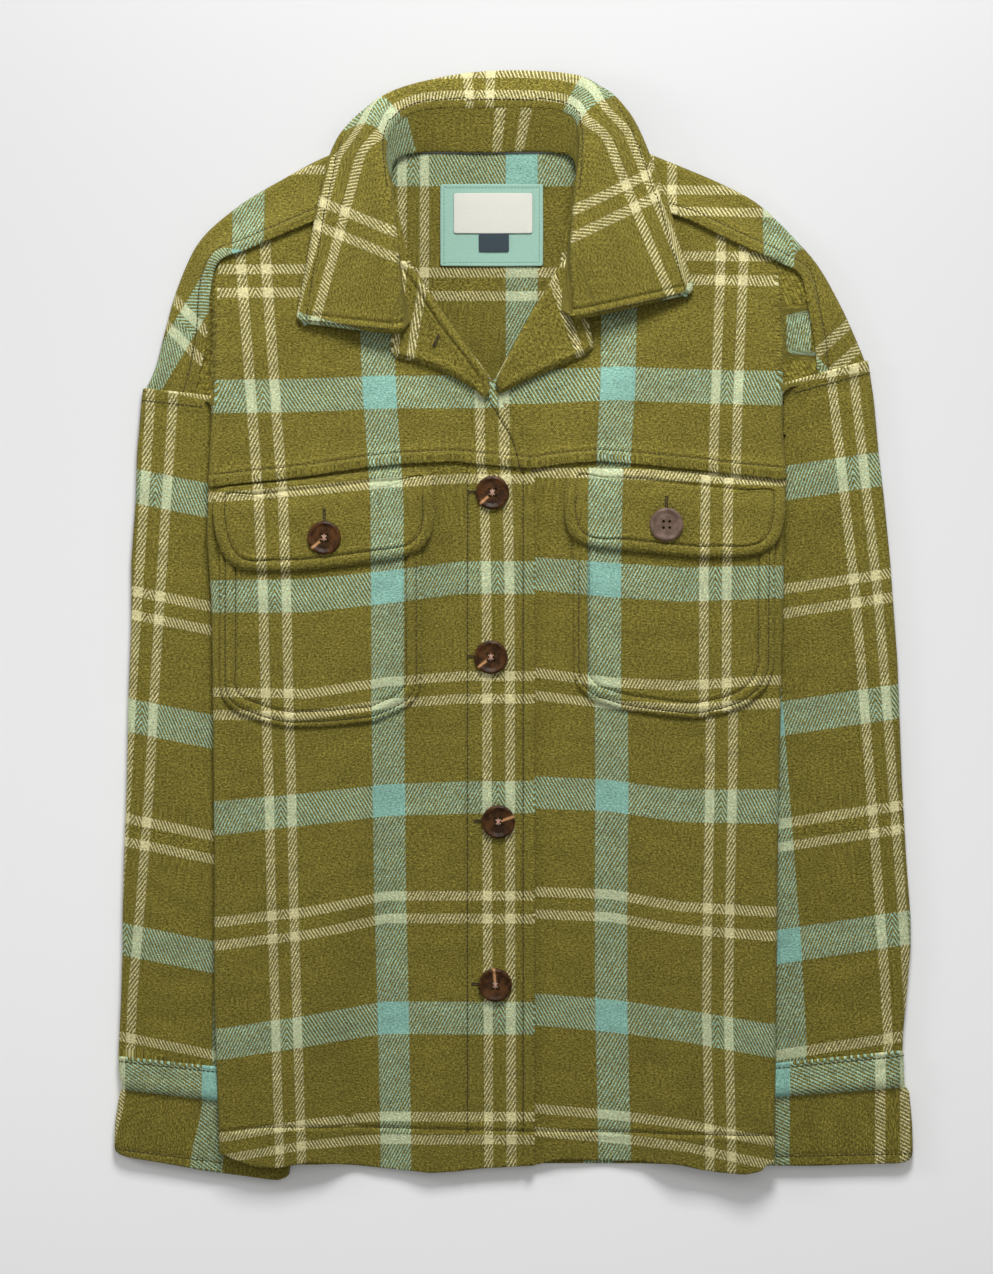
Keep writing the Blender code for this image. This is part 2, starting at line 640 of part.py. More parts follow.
for name, x, y in BUTTONS:
    if name.startswith("button_front"):
        base = front_level(np.array([x - 11.0, float(x), x + 11.0]), np.array([float(y)] * 3), True)
        button(name, x, y, float(base.max()) + CLOTH / 2 + SEAM_GAP)
    else:
        base = front_level(np.array([x - 11.0, float(x), x + 11.0]), np.array([float(y)] * 3), False)
        button(name, x, y, float(base.max()) + flap_height + DOUBLE_CLOTH / 2 + SEAM_GAP + 0.1)
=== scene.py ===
import math

import bpy
import numpy as np
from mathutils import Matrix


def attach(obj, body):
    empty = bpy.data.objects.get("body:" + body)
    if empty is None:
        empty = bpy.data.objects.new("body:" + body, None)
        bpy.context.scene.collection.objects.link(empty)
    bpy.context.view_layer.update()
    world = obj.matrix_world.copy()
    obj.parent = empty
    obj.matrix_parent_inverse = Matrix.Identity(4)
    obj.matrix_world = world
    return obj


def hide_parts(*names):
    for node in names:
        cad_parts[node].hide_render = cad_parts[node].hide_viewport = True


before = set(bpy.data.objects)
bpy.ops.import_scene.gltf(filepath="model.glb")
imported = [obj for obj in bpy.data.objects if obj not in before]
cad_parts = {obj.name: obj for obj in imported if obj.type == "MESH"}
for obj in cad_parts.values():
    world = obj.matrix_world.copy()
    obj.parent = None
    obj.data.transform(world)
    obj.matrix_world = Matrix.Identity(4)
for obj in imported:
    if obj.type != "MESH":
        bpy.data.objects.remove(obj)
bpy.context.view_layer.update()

# Brushed plaid flannel. A 2/2 twill of olive cotton, with a pair of narrow cream stripes and
# one broad aqua stripe in turn, the same across as along. The map "cloth" gives each piece's
# flat coordinates: U across the warp, V along it, with a cream pair at each whole repeat.
REPEAT = 0.148
PAIR_HALF_PITCH = 0.00765
CREAM_HALF_WIDTH = 0.0032
AQUA_HALF_WIDTH = 0.0109
STRIPE_BLUR = 0.0003
TWILL_ACROSS = 0.0023
TWILL_ALONG = 0.0041
DARK_OLIVE = (0.088, 0.071, 0.007)
PALE_OLIVE = (0.300, 0.254, 0.046)
# The two gap colours are painted shade: the dark lines between the twill's wales, where the threads
# shade one another.
OLIVE_GAP_SHADE = (0.057, 0.0471, 0.006)
STRIPE_GAP_SHADE = (0.030, 0.032, 0.007)
CREAM = (0.65, 0.59, 0.31)
AQUA = (0.25, 0.475, 0.39)
PALE_AQUA = (0.37, 0.54, 0.375)


class Nodes:
    """Short way to lay out the nodes of one material."""

    def __init__(self, name):
        self.material = bpy.data.materials.new(name)
        self.material.use_nodes = True
        self.tree = self.material.node_tree
        self.shader = self.tree.nodes["Principled BSDF"]

    def link(self, source, socket):
        """Joins a socket to an output, or sets it to a number or a colour."""
        if isinstance(source, (int, float)):
            socket.default_value = source
        elif isinstance(source, tuple):
            socket.default_value = (*source, 1.0) if len(source) == 3 else source
        else:
            self.tree.links.new(source, socket)

    def math(self, operation, first, second=None, third=None):
        """Result of one operation on up to three values."""
        node = self.tree.nodes.new("ShaderNodeMath")
        node.operation = operation
        for socket, value in zip(node.inputs, (first, second, third)):
            if value is not None:
                self.link(value, socket)
        return node.outputs[0]

    def step(self, value, start, end):
        """0 before start and 1 after end, with a soft change between."""
        node = self.tree.nodes.new("ShaderNodeMapRange")
        node.interpolation_type = "SMOOTHSTEP"
        self.link(value, node.inputs["Value"])
        self.link(start, node.inputs["From Min"])
        self.link(end, node.inputs["From Max"])
        return node.outputs["Result"]

    def mix(self, share, first, second):
        """Colour that goes from the first to the second with the share."""
        node = self.tree.nodes.new("ShaderNodeMix")
        node.data_type = "RGBA"
        self.link(share, node.inputs["Factor"])
        self.link(first, node.inputs["A"])
        self.link(second, node.inputs["B"])
        return node.outputs["Result"]

    def noise(self, vector, scale, detail=2.0, rough=0.5):
        """Soft random value at every place, with finer ones added on it."""
        node = self.tree.nodes.new("ShaderNodeTexNoise")
        self.link(vector, node.inputs["Vector"])
        node.inputs["Scale"].default_value = scale
        node.inputs["Detail"].default_value = detail
        node.inputs["Roughness"].default_value = rough
        return node.outputs["Fac"]

    def flat(self):
        """Flat coordinates of the cloth in metres: the vector, then U and V."""
        node = self.tree.nodes.new("ShaderNodeUVMap")
        node.uv_map = "cloth"
        parts = self.tree.nodes.new("ShaderNodeSeparateXYZ")
        self.tree.links.new(node.outputs["UV"], parts.inputs[0])
        return node.outputs["UV"], parts.outputs["X"], parts.outputs["Y"]

    def stretch(self, vector, size):
        """The vector with each of its parts scaled."""
        node = self.tree.nodes.new("ShaderNodeMapping")
        self.link(vector, node.inputs["Vector"])
        node.inputs["Scale"].default_value = size
        return node.outputs["Vector"]

    def bump(self, height, distance, strength):
        """Tilts the shading as if the surface rose by height times distance."""
        node = self.tree.nodes.new("ShaderNodeBump")
        node.inputs["Strength"].default_value = strength
        node.inputs["Distance"].default_value = distance
        self.link(height, node.inputs["Height"])
        self.link(node.outputs["Normal"], self.shader.inputs["Normal"])


def plaid_flannel(name, painted_shade_factor):
    """Twill plaid: each set of threads has its own stripes, and the twill shows one set or the
    other. The twill line turns back at every stripe group of the warp, as a herringbone. The
    last argument darkens all of the colour as painted shade; at 1 there is none."""
    cloth = Nodes(name)
    vector, across, along = cloth.flat()
    wander = cloth.noise(vector, 900.0, 2.0)
    wander = cloth.math("MULTIPLY", cloth.math("SUBTRACT", wander, 0.5), 0.0013)
    u = cloth.math("ADD", across, wander)
    v = cloth.math("SUBTRACT", along, wander)

    def stripes(position):
        """Share of cream and of aqua in the threads at a flat position."""
        away = cloth.math("PINGPONG", position, REPEAT / 2)
        off_stripe = cloth.math("ABSOLUTE", cloth.math("SUBTRACT", away, PAIR_HALF_PITCH))
        cream = cloth.step(off_stripe, CREAM_HALF_WIDTH + STRIPE_BLUR,
                           CREAM_HALF_WIDTH - STRIPE_BLUR)
        edge = REPEAT / 2 - AQUA_HALF_WIDTH
        aqua = cloth.step(away, edge - STRIPE_BLUR, edge + STRIPE_BLUR)
        return away, cream, aqua

    away_u, cream_u, aqua_u = stripes(u)
    _, cream_v, aqua_v = stripes(v)

    mottle = cloth.noise(cloth.stretch(vector, (0.8, 1.25, 1.0)), 720.0, 4.0, 0.75)
    mottle = cloth.step(mottle, 0.35, 0.65)
    olive = cloth.mix(mottle, DARK_OLIVE, PALE_OLIVE)
    both_aqua = cloth.math("MULTIPLY", aqua_u, aqua_v)
    aqua = cloth.mix(both_aqua, PALE_AQUA, AQUA)
    warp = cloth.mix(aqua_u, cloth.mix(cream_u, olive, CREAM), aqua)
    weft = cloth.mix(aqua_v, cloth.mix(cream_v, olive, CREAM), aqua)

    striped_u = cloth.math("MAXIMUM", cream_u, aqua_u)
    striped_v = cloth.math("MAXIMUM", cream_v, aqua_v)
    turned = cloth.math("MULTIPLY", away_u, -1.0)
    lean = cloth.math("ADD", turned, cloth.math("MULTIPLY", striped_u,
                                                cloth.math("SUBTRACT", u, turned)))
    phase = cloth.math("SUBTRACT", cloth.math("MULTIPLY", lean, 2 * math.pi / TWILL_ACROSS),
                       cloth.math("MULTIPLY", v, 2 * math.pi / TWILL_ALONG))
    loose = cloth.noise(vector, 1100.0, 2.0)
    phase = cloth.math("ADD", phase, cloth.math("MULTIPLY", loose, 2.5))
    wave = cloth.math("SINE", phase)
    warp_shows = cloth.step(wave, -0.02, 0.56)
    weft_shows = cloth.step(wave, 0.02, -0.56)
    crossing = cloth.math("MULTIPLY", striped_u, striped_v)
    either = cloth.math("MAXIMUM", striped_u, striped_v)
    between = cloth.mix(0.5, warp, weft)
    # Where neither set of threads shows, the colour is painted shade of the twill's gap; where
    # stripes cross, it is the mean of both threads instead.
    gap_shade = cloth.mix(either, OLIVE_GAP_SHADE, STRIPE_GAP_SHADE)
    gap = cloth.mix(crossing, gap_shade, between)
    colour = cloth.mix(warp_shows, cloth.mix(weft_shows, gap, weft), warp)
    softened = cloth.math("MULTIPLY_ADD", crossing, 0.40, cloth.math("MULTIPLY", either, 0.05))
    colour = cloth.mix(softened, colour, between)

    fuzz = cloth.noise(cloth.stretch(vector, (0.75, 1.3, 1.0)), 760.0, 3.0, 0.8)
    shade = cloth.math("ADD", cloth.math("MULTIPLY", fuzz, 3.0), -0.46)
    # Broad random tone, the whole of it scaled by the painted shade factor.
    wear_and_shade = cloth.noise(cloth.stretch(vector, (0.6, 1.5, 1.0)), 60.0, 5.0, 0.65)
    wear_and_shade = cloth.math("ADD", cloth.math("MULTIPLY", wear_and_shade, 0.76 * painted_shade_factor), 0.62 * painted_shade_factor)
    shade = cloth.math("MULTIPLY", shade, wear_and_shade)
    tint = cloth.tree.nodes.new("ShaderNodeVectorMath")
    tint.operation = "SCALE"
    cloth.link(colour, tint.inputs[0])
    cloth.link(shade, tint.inputs["Scale"])
    cloth.link(tint.outputs[0], cloth.shader.inputs["Base Color"])
    cloth.shader.inputs["Roughness"].default_value = 0.95
    cloth.shader.inputs["Specular IOR Level"].default_value = 0.12
    cloth.shader.inputs["Sheen Weight"].default_value = 0.10
    cloth.shader.inputs["Sheen Roughness"].default_value = 0.6
    cloth.shader.inputs["Sheen Tint"].default_value = (0.75, 0.68, 0.38, 1.0)
    relief = cloth.math("ADD", cloth.math("MULTIPLY", cloth.math("ABSOLUTE", wave), 0.6),
                        cloth.math("ADD", cloth.math("MULTIPLY", fuzz, 1.6), mottle))
    cloth.bump(relief, 0.0003, 0.9)
    return cloth.material


FLANNEL = plaid_flannel("plaid_flannel", 1.0)


# Back panel, below the yoke seam. It lies flat on the floor and rises where the hidden half
# of each sleeve passes beneath it. A single ply of flannel, seen from the underside only.
CLOTH = 2.2
SLEEVE_HEIGHT = 7.4
OVER_SLEEVE = 8.0
LAYER_GAP = 0.5
SIDE_GAP = 2.6
RAMP = 36.0

# Side folds of the body. Columns: y, left fold x, right fold x
SIDE_FOLDS = np.array([
    (-372, -199, 178), (-343, -200, 178), (-255, -203, 179), (-153, -203, 180),
    (-51, -204, 182), (17, -205, 184), (58, -208, 184), (99, -207, 186),
    (139, -205, 183), (194, -204, 184), (247, -204, 181), (300, -204, 181)], float)

# Sleeves lying down the sides. Columns: y, left outer, left inner, right inner, right outer
SLEEVE_EDGES = np.array([
    (-300, -269, -137, 118, 265), (-276, -268, -133, 113, 266), (-255, -267, -129, 109, 268),
    (-220, -266, -122, 103, 271), (-200, -266, -118, 99, 271), (-160, -265, -111, 91, 268),
    (-105, -263, -103, 82, 265), (-51, -262, -93, 73, 263), (-24, -261, -89, 69, 262),
    (3, -260, -84, 65, 260), (44, -260, -78, 58, 257), (85, -257, -71, 52, 253),
    (119, -256, -65, 47, 249), (153, -253, -59, 42, 246), (180, -250, -55, 38, 242)], float)


def ease(start, end, value):
    """0 before start and 1 after end, with a soft change between."""
    share = np.clip((value - start) / (end - start), 0.0, 1.0)
    return share * share * (3.0 - 2.0 * share)


def column(table, index, at):
    """One column of a table, read at values of its first column."""
    return np.interp(at, table[:, 0], table[:, index])


def over_sleeves(x, y):
    """1 where the hidden half of a sleeve lies below, falling softly to 0 beside it."""
    upper = ease(118.0, 235.0, y)
    left = column(SLEEVE_EDGES, 2, y)
    right = column(SLEEVE_EDGES, 3, y)
    left = left + upper * (-152.0 - left)
    right = right + upper * (128.0 - right)
    return np.maximum(1.0 - ease(left, left + RAMP, x), ease(right - RAMP, right, x))


def spaced(edges, step):
    """Rising values through the given ones, no further apart than step."""
    runs = [np.linspace(low, high, max(int(math.ceil((high - low) / step)), 1), endpoint=False)
            for low, high in zip(edges[:-1], edges[1:])]
    return np.concatenate(runs + [[edges[-1]]])


def unit(vectors):
    """Vectors at length one."""
    return vectors / np.maximum(np.linalg.norm(vectors, axis=-1, keepdims=True), 1e-9)


def make_piece(name, points, faces, flat, material, slot):
    """Mesh object from points in millimetres, faces and flat coordinates in millimetres."""
    mesh = bpy.data.meshes.new(name)
    mesh.from_pydata((points * 0.001).tolist(), [], faces)
    corner = np.empty(len(mesh.loops), np.int32)
    mesh.loops.foreach_get("vertex_index", corner)
    layer = mesh.uv_layers.new(name="cloth")
    layer.data.foreach_set("uv", (flat[corner] * 0.001).astype(np.float32).ravel())
    mesh.shade_smooth()
    mesh.materials.append(material)
    piece = bpy.data.objects.new(name, mesh)
    bpy.context.scene.collection.objects.link(piece)
    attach(piece, "root")
    return piece


def shell(name, outer, flat, wall=CLOTH, wrap=False, pole=False, straight_down=False,
          material=None, slot="plaid_flannel"):
    """Closed sheet of cloth over a grid of points on its visible side.

    The hidden side lies one wall below along the surface normal, and every open edge is
    closed by half a round of cloth. wrap joins the last column to the first; pole draws the
    last row together into one point.
    """
    rows, columns = outer.shape[:2]
    down_rows = np.gradient(outer, axis=0)
    if wrap:
        across = np.roll(outer, -1, axis=1) - np.roll(outer, 1, axis=1)
    else:
        across = np.gradient(outer, axis=1)
    if straight_down:
        normal = np.zeros_like(outer)
        normal[..., 2] = 1.0
    else:
        normal = unit(np.cross(across, down_rows))
    thick = wall if np.isscalar(wall) else wall[..., None]
    inner = outer - normal * thick
    # Where a pressed fold turns the normal over, the hidden side still stays off the floor.
    inner[..., 2] = np.abs(inner[..., 2])
    index = np.arange(rows * columns).reshape(rows, columns)
    size = rows * columns
    rings = []
    if wrap:
        rings.append((index[0], outer[0] - outer[1]))
        if not pole:
            rings.append((index[-1][::-1], (outer[-1] - outer[-2])[::-1]))
    else:
        edge = np.concatenate([index[0, :-1], index[:-1, -1], index[-1, :0:-1], index[:0:-1, 0]])
        away = np.zeros_like(outer)
        away[0] += unit(outer[0] - outer[1])
        away[-1] += unit(outer[-1] - outer[-2])
        away[:, 0] += unit(outer[:, 0] - outer[:, 1])
        away[:, -1] += unit(outer[:, -1] - outer[:, -2])
        rings.append((edge, away.reshape(-1, 3)[edge]))
    all_outer, all_inner = outer.reshape(-1, 3), inner.reshape(-1, 3)
    all_flat = flat.reshape(-1, 2)
    points, flats, faces = [all_outer, all_inner], [all_flat, all_flat], []
    low, high = index[:-1], index[1:]
    if wrap:
        quads = np.stack([low, np.roll(low, -1, 1), np.roll(high, -1, 1), high], -1)
    else:
        quads = np.stack([low[:, :-1], low[:, 1:], high[:, 1:], high[:, :-1]], -1)
    if pole:
        tip = index[-1, 0]
        fan = np.stack([index[-2], np.roll(index[-2], -1), np.full(columns, tip)], -1)
        quads = quads[:-1]
        faces += fan.tolist() + (fan[:, ::-1] + size).tolist()
    quads = quads.reshape(-1, 4)
    faces += quads.tolist() + (quads[:, ::-1] + size).tolist()
    start = 2 * size
    for edge, away in rings:
        middle = (all_outer[edge] + all_inner[edge]) / 2
        half = all_outer[edge] - middle
        reach = unit(away) * np.linalg.norm(half, axis=1, keepdims=True)
        count = len(edge)
        previous = edge
        for turn in (0.25, 0.5, 0.75):
            angle = math.pi * turn
            points.append(middle + half * math.cos(angle) + reach * math.sin(angle))
            flats.append(all_flat[edge])
            current = np.arange(start, start + count)
            start += count
            strip = np.stack([previous, current, np.roll(current, -1), np.roll(previous, -1)], -1)
            faces += strip.tolist()
            previous = current
        last = edge + size
        strip = np.stack([previous, last, np.roll(last, -1), np.roll(previous, -1)], -1)
        faces += strip.tolist()
    points = np.concatenate(points)
    flats = np.concatenate(flats)
    if pole:
        used = np.unique(np.concatenate([np.array(face) for face in faces]))
        renumber = np.zeros(len(points), int)
        renumber[used] = np.arange(len(used))
        faces = [renumber[face].tolist() for face in faces]
        points, flats = points[used], flats[used]
    return make_piece(name, points, faces, flats, material or FLANNEL, slot)


BACK_SEAM_Y = 150.0
BACK_INSIDE_FOLD = 19.3
rows = spaced([-366.0, -100.0, 100.0, 122.0, BACK_SEAM_Y - 0.3], 7.0)
shares = np.linspace(0.0, 1.0, 80)
y = np.repeat(rows[:, None], shares.size, 1)
left = column(SIDE_FOLDS, 1, y) + BACK_INSIDE_FOLD
right = column(SIDE_FOLDS, 2, y) - BACK_INSIDE_FOLD
x = left + shares * (right - left)
rise = OVER_SLEEVE * over_sleeves(x, y) * (1.0 - ease(126.0, BACK_SEAM_Y - 2.0, y))
back_body = shell("back_body_cloth", np.stack([x, y, CLOTH + rise], -1),
                  np.stack([x + 15, y - 98], -1))
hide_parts("back_body")


# Topstitching. Olive sewing thread, about eight stitches to the inch, sunk into the flannel
# along every seam, edge and hem; each section lays its own rows.
PITCH = 3.1
STITCH_RISE = 0.15


def spun_thread(name, dark, light, roughness):
    """Sewing thread, dark and light in turn by fine noise."""
    thread = Nodes(name)
    place = thread.tree.nodes.new("ShaderNodeTexCoord").outputs["Object"]
    colour = thread.mix(thread.noise(place, 2500.0), dark, light)
    thread.link(colour, thread.shader.inputs["Base Color"])
    thread.shader.inputs["Roughness"].default_value = roughness
    return thread.material


# The thread is much darker than the flannel: partly its own colour, partly painted shade of the
# groove it lies in.
THREAD = spun_thread("olive_thread_groove_shade", (0.022, 0.017, 0.003), (0.058, 0.047, 0.008), 0.8)


def beads(name, centres, directions, length, radius, thread, slot):
    """Stitches as spindles of thread: rings of five points about each stitch's own line, drawn
    together to a point at both of its ends."""
    ahead = unit(directions)
    aside = unit(np.cross(ahead, np.array([0.0, 0.0, 1.0])))
    above = np.cross(aside, ahead)
    turn = np.radians(np.arange(5) * 72.0 + 18.0)
    rings = [(-0.33, 0.8), (0.0, 1.0), (0.33, 0.8)]
    points = [centres - ahead * length / 2]
    for place, wide in rings:
        for angle in turn:
            points.append(centres + ahead * length * place
                          + radius * wide * (aside * math.cos(angle) + above * math.sin(angle)))
    points.append(centres + ahead * length / 2)
    points = np.stack(points, 1)
    faces = []
    for k in range(5):
        nxt = (k + 1) % 5
        faces.append((0, 1 + nxt, 1 + k))
        faces.append((16, 11 + k, 11 + nxt))
        for ring in (0, 5):
            faces.append((1 + ring + k, 1 + ring + nxt, 6 + ring + nxt))
            faces.append((1 + ring + k, 6 + ring + nxt, 6 + ring + k))
    faces = (np.array(faces)[None] + 17 * np.arange(len(centres))[:, None, None]).reshape(-1, 3)
    points = points.reshape(-1, 3)
    return make_piece(name, points, faces.tolist(), points[:, :2], thread, slot)


def stitch_spots(paths, pitch):
    """Middles and directions of stitches spaced evenly along paths, a little above them."""
    centres, directions = [], []
    for path in paths:
        path = np.asarray(path, float) + (0.0, 0.0, STITCH_RISE)
        at = np.concatenate([[0.0], np.cumsum(np.linalg.norm(np.diff(path, axis=0), axis=1))])
        spots = np.arange(pitch / 2, at[-1], pitch)
        middle, ahead, behind = (
            np.column_stack([np.interp(where, at, path[:, k]) for k in range(3)])
            for where in (spots, spots + 0.4, spots - 0.4))
        centres.append(middle)
        directions.append(ahead - behind)
    return np.concatenate(centres), np.concatenate(directions)


def topstitch(name, paths, slot="plaid_flannel", thread=THREAD, pitch=PITCH, length=2.6,
              radius=0.48):
    """One row of stitching on each path, lying in its groove."""
    return beads(name, *stitch_spots(paths, pitch), length, radius, thread, slot)


def left_to_right(row, shows):
    """The points of a row that show, from left to right."""
    return row[shows][np.argsort(row[shows][:, 0])]


# Sleeves. Each is one flannel tube set into a dropped armhole, folded straight down and
# pressed flat, so that its inner half lies under the body. The sleeve head laps over the
# shoulder with a topstitched edge.
def sleeve_plaid(side, x, y):
    """Flat coordinates on a sleeve, from the stripes seen on its visible strip.

    U is the distance across from the line of the cream pair, V the distance along from the
    aqua bands, which climb towards the outside of the arm."""
    if side == "left":
        middle = np.interp(y, (-289, -255, -187, -119, -51, 17, 153),
                           (-268, -266.8, -261, -255.7, -252, -248, -239))
        drop = 0.20 * (x + 235.0)
        v = np.interp(y + drop, (-294, -220, -145.5, -66.5, 10.2, 90.1, 170),
                      (-222, -148, -74, 0, 74, 148, 222))
        return np.stack([x - middle, v + 74.0], -1)
    middle = np.interp(y, (-282, -221, -153, -51, 17, 85, 167),
                       (263, 259.4, 254.3, 246.5, 241, 233.6, 224.4))
    drop = -0.15 * (x - 215.0)
    v = np.interp(y + drop, (-296, -213.5, -138.5, -59, 20.7, 101, 180),
                  (-222, -148, -74, 0, 74, 148, 222))
    return np.stack([x - middle, v + 74.0], -1)


CREASE_BOW = 0.0012


def creases(table, x, y):
    """Sum of soft troughs and ridges: each is a bell across and along its own slanted line.

    A ridge bows to one side as it runs, and a trough to the other.
    Columns: x, y, half length, half width, turn in degrees from +X, height."""
    total = np.zeros(np.broadcast(x, y).shape)
    for cx, cy, length, width, turn, height in table:
        c, s = math.cos(math.radians(turn)), math.sin(math.radians(turn))
        a = (x - cx) * c + (y - cy) * s
        b = -(x - cx) * s + (y - cy) * c + math.copysign(CREASE_BOW, height) * a * a
        total += height * np.exp(-(a / length) ** 2 - (b / width) ** 2)
    return total


LEFT_SLEEVE_CREASES = [
    (-236, 40, 26, 7, 8, -0.7), (-240, -30, 60, 9, 84, 0.6), (-238, -130, 24, 8, -12, -0.6),
    (-236, -215, 30, 9, 4, 0.7), (-238, -240, 28, 6, -8, -0.8), (-234, -268, 30, 6, 6, -0.9),
    (-240, -282, 24, 5, -4, 0.7), (-226, 110, 40, 8, 75, 0.6),
]
RIGHT_SLEEVE_CREASES = [
    (228, 120, 34, 8, 70, 0.7), (236, 30, 60, 10, 95, 0.6), (226, -60, 26, 7, 12, -0.6),
    (240, -150, 40, 9, 80, 0.6), (226, -205, 30, 8, -10, -0.8), (232, -240, 30, 6, 8, 0.7),
    (228, -262, 32, 6, -6, -0.9), (236, -278, 26, 5, 5, 0.7),
]


def flat_ring(x_low, x_high, height, steps):
    """Closed section of a pressed tube: up the inner fold, across the top and back below.

    Gives x, z and the distance round the section, starting at the low side's lower corner."""
    radius = height / 2
    round_off = np.radians(np.linspace(-90.0, 90.0, 9))
    across = np.linspace(0.0, 1.0, steps)[1:-1]
    low, high = x_low + radius, x_high - radius
    x = np.concatenate([low + across * (high - low), high + radius * np.cos(round_off),
                        high + across * (low - high), low - radius * np.cos(round_off)])
    z = np.concatenate([np.zeros(across.size), radius + radius * np.sin(round_off),
                        np.full(across.size, height), radius - radius * np.sin(round_off)])
    step = np.hypot(np.diff(x), np.diff(z))
    return x, z, np.concatenate([[0.0], np.cumsum(step)])


# Armhole, cuff seam and cuff end. Columns: y at the outer edge, y at the inner edge
SLEEVE_ENDS = {"left": ((160.6, 139.3), (-296.0, -310.0), (-362.0, -378.0)),
               "right": ((179.6, 127.0), (-292.0, -307.0), (-366.0, -368.0))}
HIDDEN_ARMHOLE_Y = 122.0
# The rows of a sleeve stand close at its head, where the sixth carries the stitching.
SLEEVE_SHARES = np.concatenate([[0.0, 0.0015, 0.004, 0.008, 0.012, 0.016, 0.02],
                                np.linspace(0.026, 1.0, 170)])
HEAD_STITCH_ROW = 5


def sleeve(side):
    """Pressed tube from armhole to cuff seam, shaped by its edges, with a stitched head."""
    (arm_out, arm_in), (seam_out, seam_in), _ = SLEEVE_ENDS[side]
    grid, flats = [], []
    for share in SLEEVE_SHARES:
        y_out = arm_out - 0.3 + share * (seam_out - arm_out)
        y_in = arm_in - 0.3 + share * (seam_in - arm_in)
        if side == "left":
            low, high = column(SLEEVE_EDGES, 1, y_out), column(SLEEVE_EDGES, 2, y_in)
            y_low, y_high = y_out, y_in
        else:
            low, high = column(SLEEVE_EDGES, 3, y_in), column(SLEEVE_EDGES, 4, y_out)
            y_low, y_high = y_in, y_out
        x, z, _ = flat_ring(low, high, SLEEVE_HEIGHT, 64)
        y = np.interp(x, (low, high), (y_low, y_high))
        hidden = (x > -203.0) if side == "left" else (x < 183.0)
        y = np.where(hidden & (y > HIDDEN_ARMHOLE_Y), HIDDEN_ARMHOLE_Y - 0.1 * share, y)
        from_head = share * abs(seam_out - arm_out)
        beside = np.abs(x + 204.5) if side == "left" else np.abs(x - 184.0)
        head = (2.2 * (1.0 - ease(6.6, 11.5, from_head))
                - 1.1 * math.exp(-(from_head - 7.0) ** 2))
        head = head * ease(1.0, 8.0, beside)
        top = z > SLEEVE_HEIGHT * 0.5
        folds = creases(LEFT_SLEEVE_CREASES if side == "left" else RIGHT_SLEEVE_CREASES, x, y)
        edge_soft = ease(0.0, 14.0, np.minimum(x - low, high - x))
        lift = np.where(top & ~hidden, head * ease(0.0, 5.0, np.minimum(x - low, high - x))
                        + folds * edge_soft, 0.0)
        grid.append(np.stack([x, y, z + lift], -1))
        flats.append(sleeve_plaid(side, x, y))
    return np.array(grid), np.array(flats)


for side in ("left", "right"):
    outer, flat = sleeve(side)
    piece = shell("sleeve_" + side + "_cloth", outer, flat, wrap=True)
    row = outer[HEAD_STITCH_ROW]
    beside_body = (row[:, 0] < -209) if side == "left" else (row[:, 0] > 189)
    row = left_to_right(row, (row[:, 2] > SLEEVE_HEIGHT * 0.6) & beside_body)
    topstitch("sleeve_head_stitches_" + side, [row])
    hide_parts("sleeve_" + side)


# Cuffs. Two plies of flannel cut with the warp across, joined under the sleeve's end and
# edge-stitched; the aqua stripe runs round the top, and a soft tuck steps down below it.
CUFF_SHARES = np.concatenate([[0.0, 0.01, 0.03, 0.05], np.linspace(0.07, 0.95, 56),
                              [0.965, 0.98, 0.99, 1.0]])
CUFF_STITCH_SHARES = (0.03, 0.91)
# Columns: share of the cuff's length, left outer x, left inner, right inner, right outer
CUFF_EDGES = np.array([
    (0.0, -269, -138, 118, 266), (0.20, -268, -140, 120, 266.5), (0.31, -266, -145, 123, 267),
    (0.36, -268, -147, 125, 270), (0.65, -271, -149, 127, 272), (0.9, -271.6, -152, 130, 272.5),
    (0.95, -270.6, -152.6, 130.6, 271.8), (0.98, -268, -155, 133, 270),
    (1.0, -264, -159, 137, 266.5)])


def cuff(side):
    """Pressed tube from the cuff seam to the end, with a raised top band and a tuck."""
    _, (seam_out, seam_in), (end_out, end_in) = SLEEVE_ENDS[side]
    first = 1 if side == "left" else 3
    grid, flats = [], []
    for share in CUFF_SHARES:
        y_out = seam_out + 1.2 + share * (end_out - seam_out - 1.2)
        y_in = seam_in + 1.2 + share * (end_in - seam_in - 1.2)
        low, high = column(CUFF_EDGES, first, share), column(CUFF_EDGES, first + 1, share)
        y_low, y_high = (y_out, y_in) if side == "left" else (y_in, y_out)
        x, z, _ = flat_ring(low, high, SLEEVE_HEIGHT + 0.2, 50)
        y = np.interp(x, (low, high), (y_low, y_high))
        top = z > SLEEVE_HEIGHT * 0.5
        band = 3.0 * (1.0 - ease(0.27, 0.36, share)) + 1.0 * math.exp(-((share - 0.22) / 0.06) ** 2)
        band -= (0.9 * math.exp(-((share - CUFF_STITCH_SHARES[0]) / 0.02) ** 2)
                 + 0.8 * math.exp(-((share - CUFF_STITCH_SHARES[1]) / 0.018) ** 2))
        inside = ease(0.0, 5.0, np.minimum(x - low, high - x))
        shows = x < -196.0 if side == "left" else x > 172.0
        lift = np.where(top & shows, band * inside, 0.0)
        grid.append(np.stack([x, y, z + lift], -1))
        flats.append(cuff_plaid(side, x, share))
    return np.array(grid), np.array(flats)


def cuff_plaid(side, x, share):
    """Flat coordinates on a cuff, whose warp runs round the wrist: the aqua band is a warp
    stripe along its top, and the weft stripes cross it."""
    u = 74.0 + (share - 0.150) * 66.0 + np.zeros_like(x)
    if side == "left":
        v = 74.0 + (x + 200.6 + 8.1 * ease(0.31, 1.0, share))
    else:
        v = (x - 258.4) / 1.11
    return np.stack([u, v], -1)


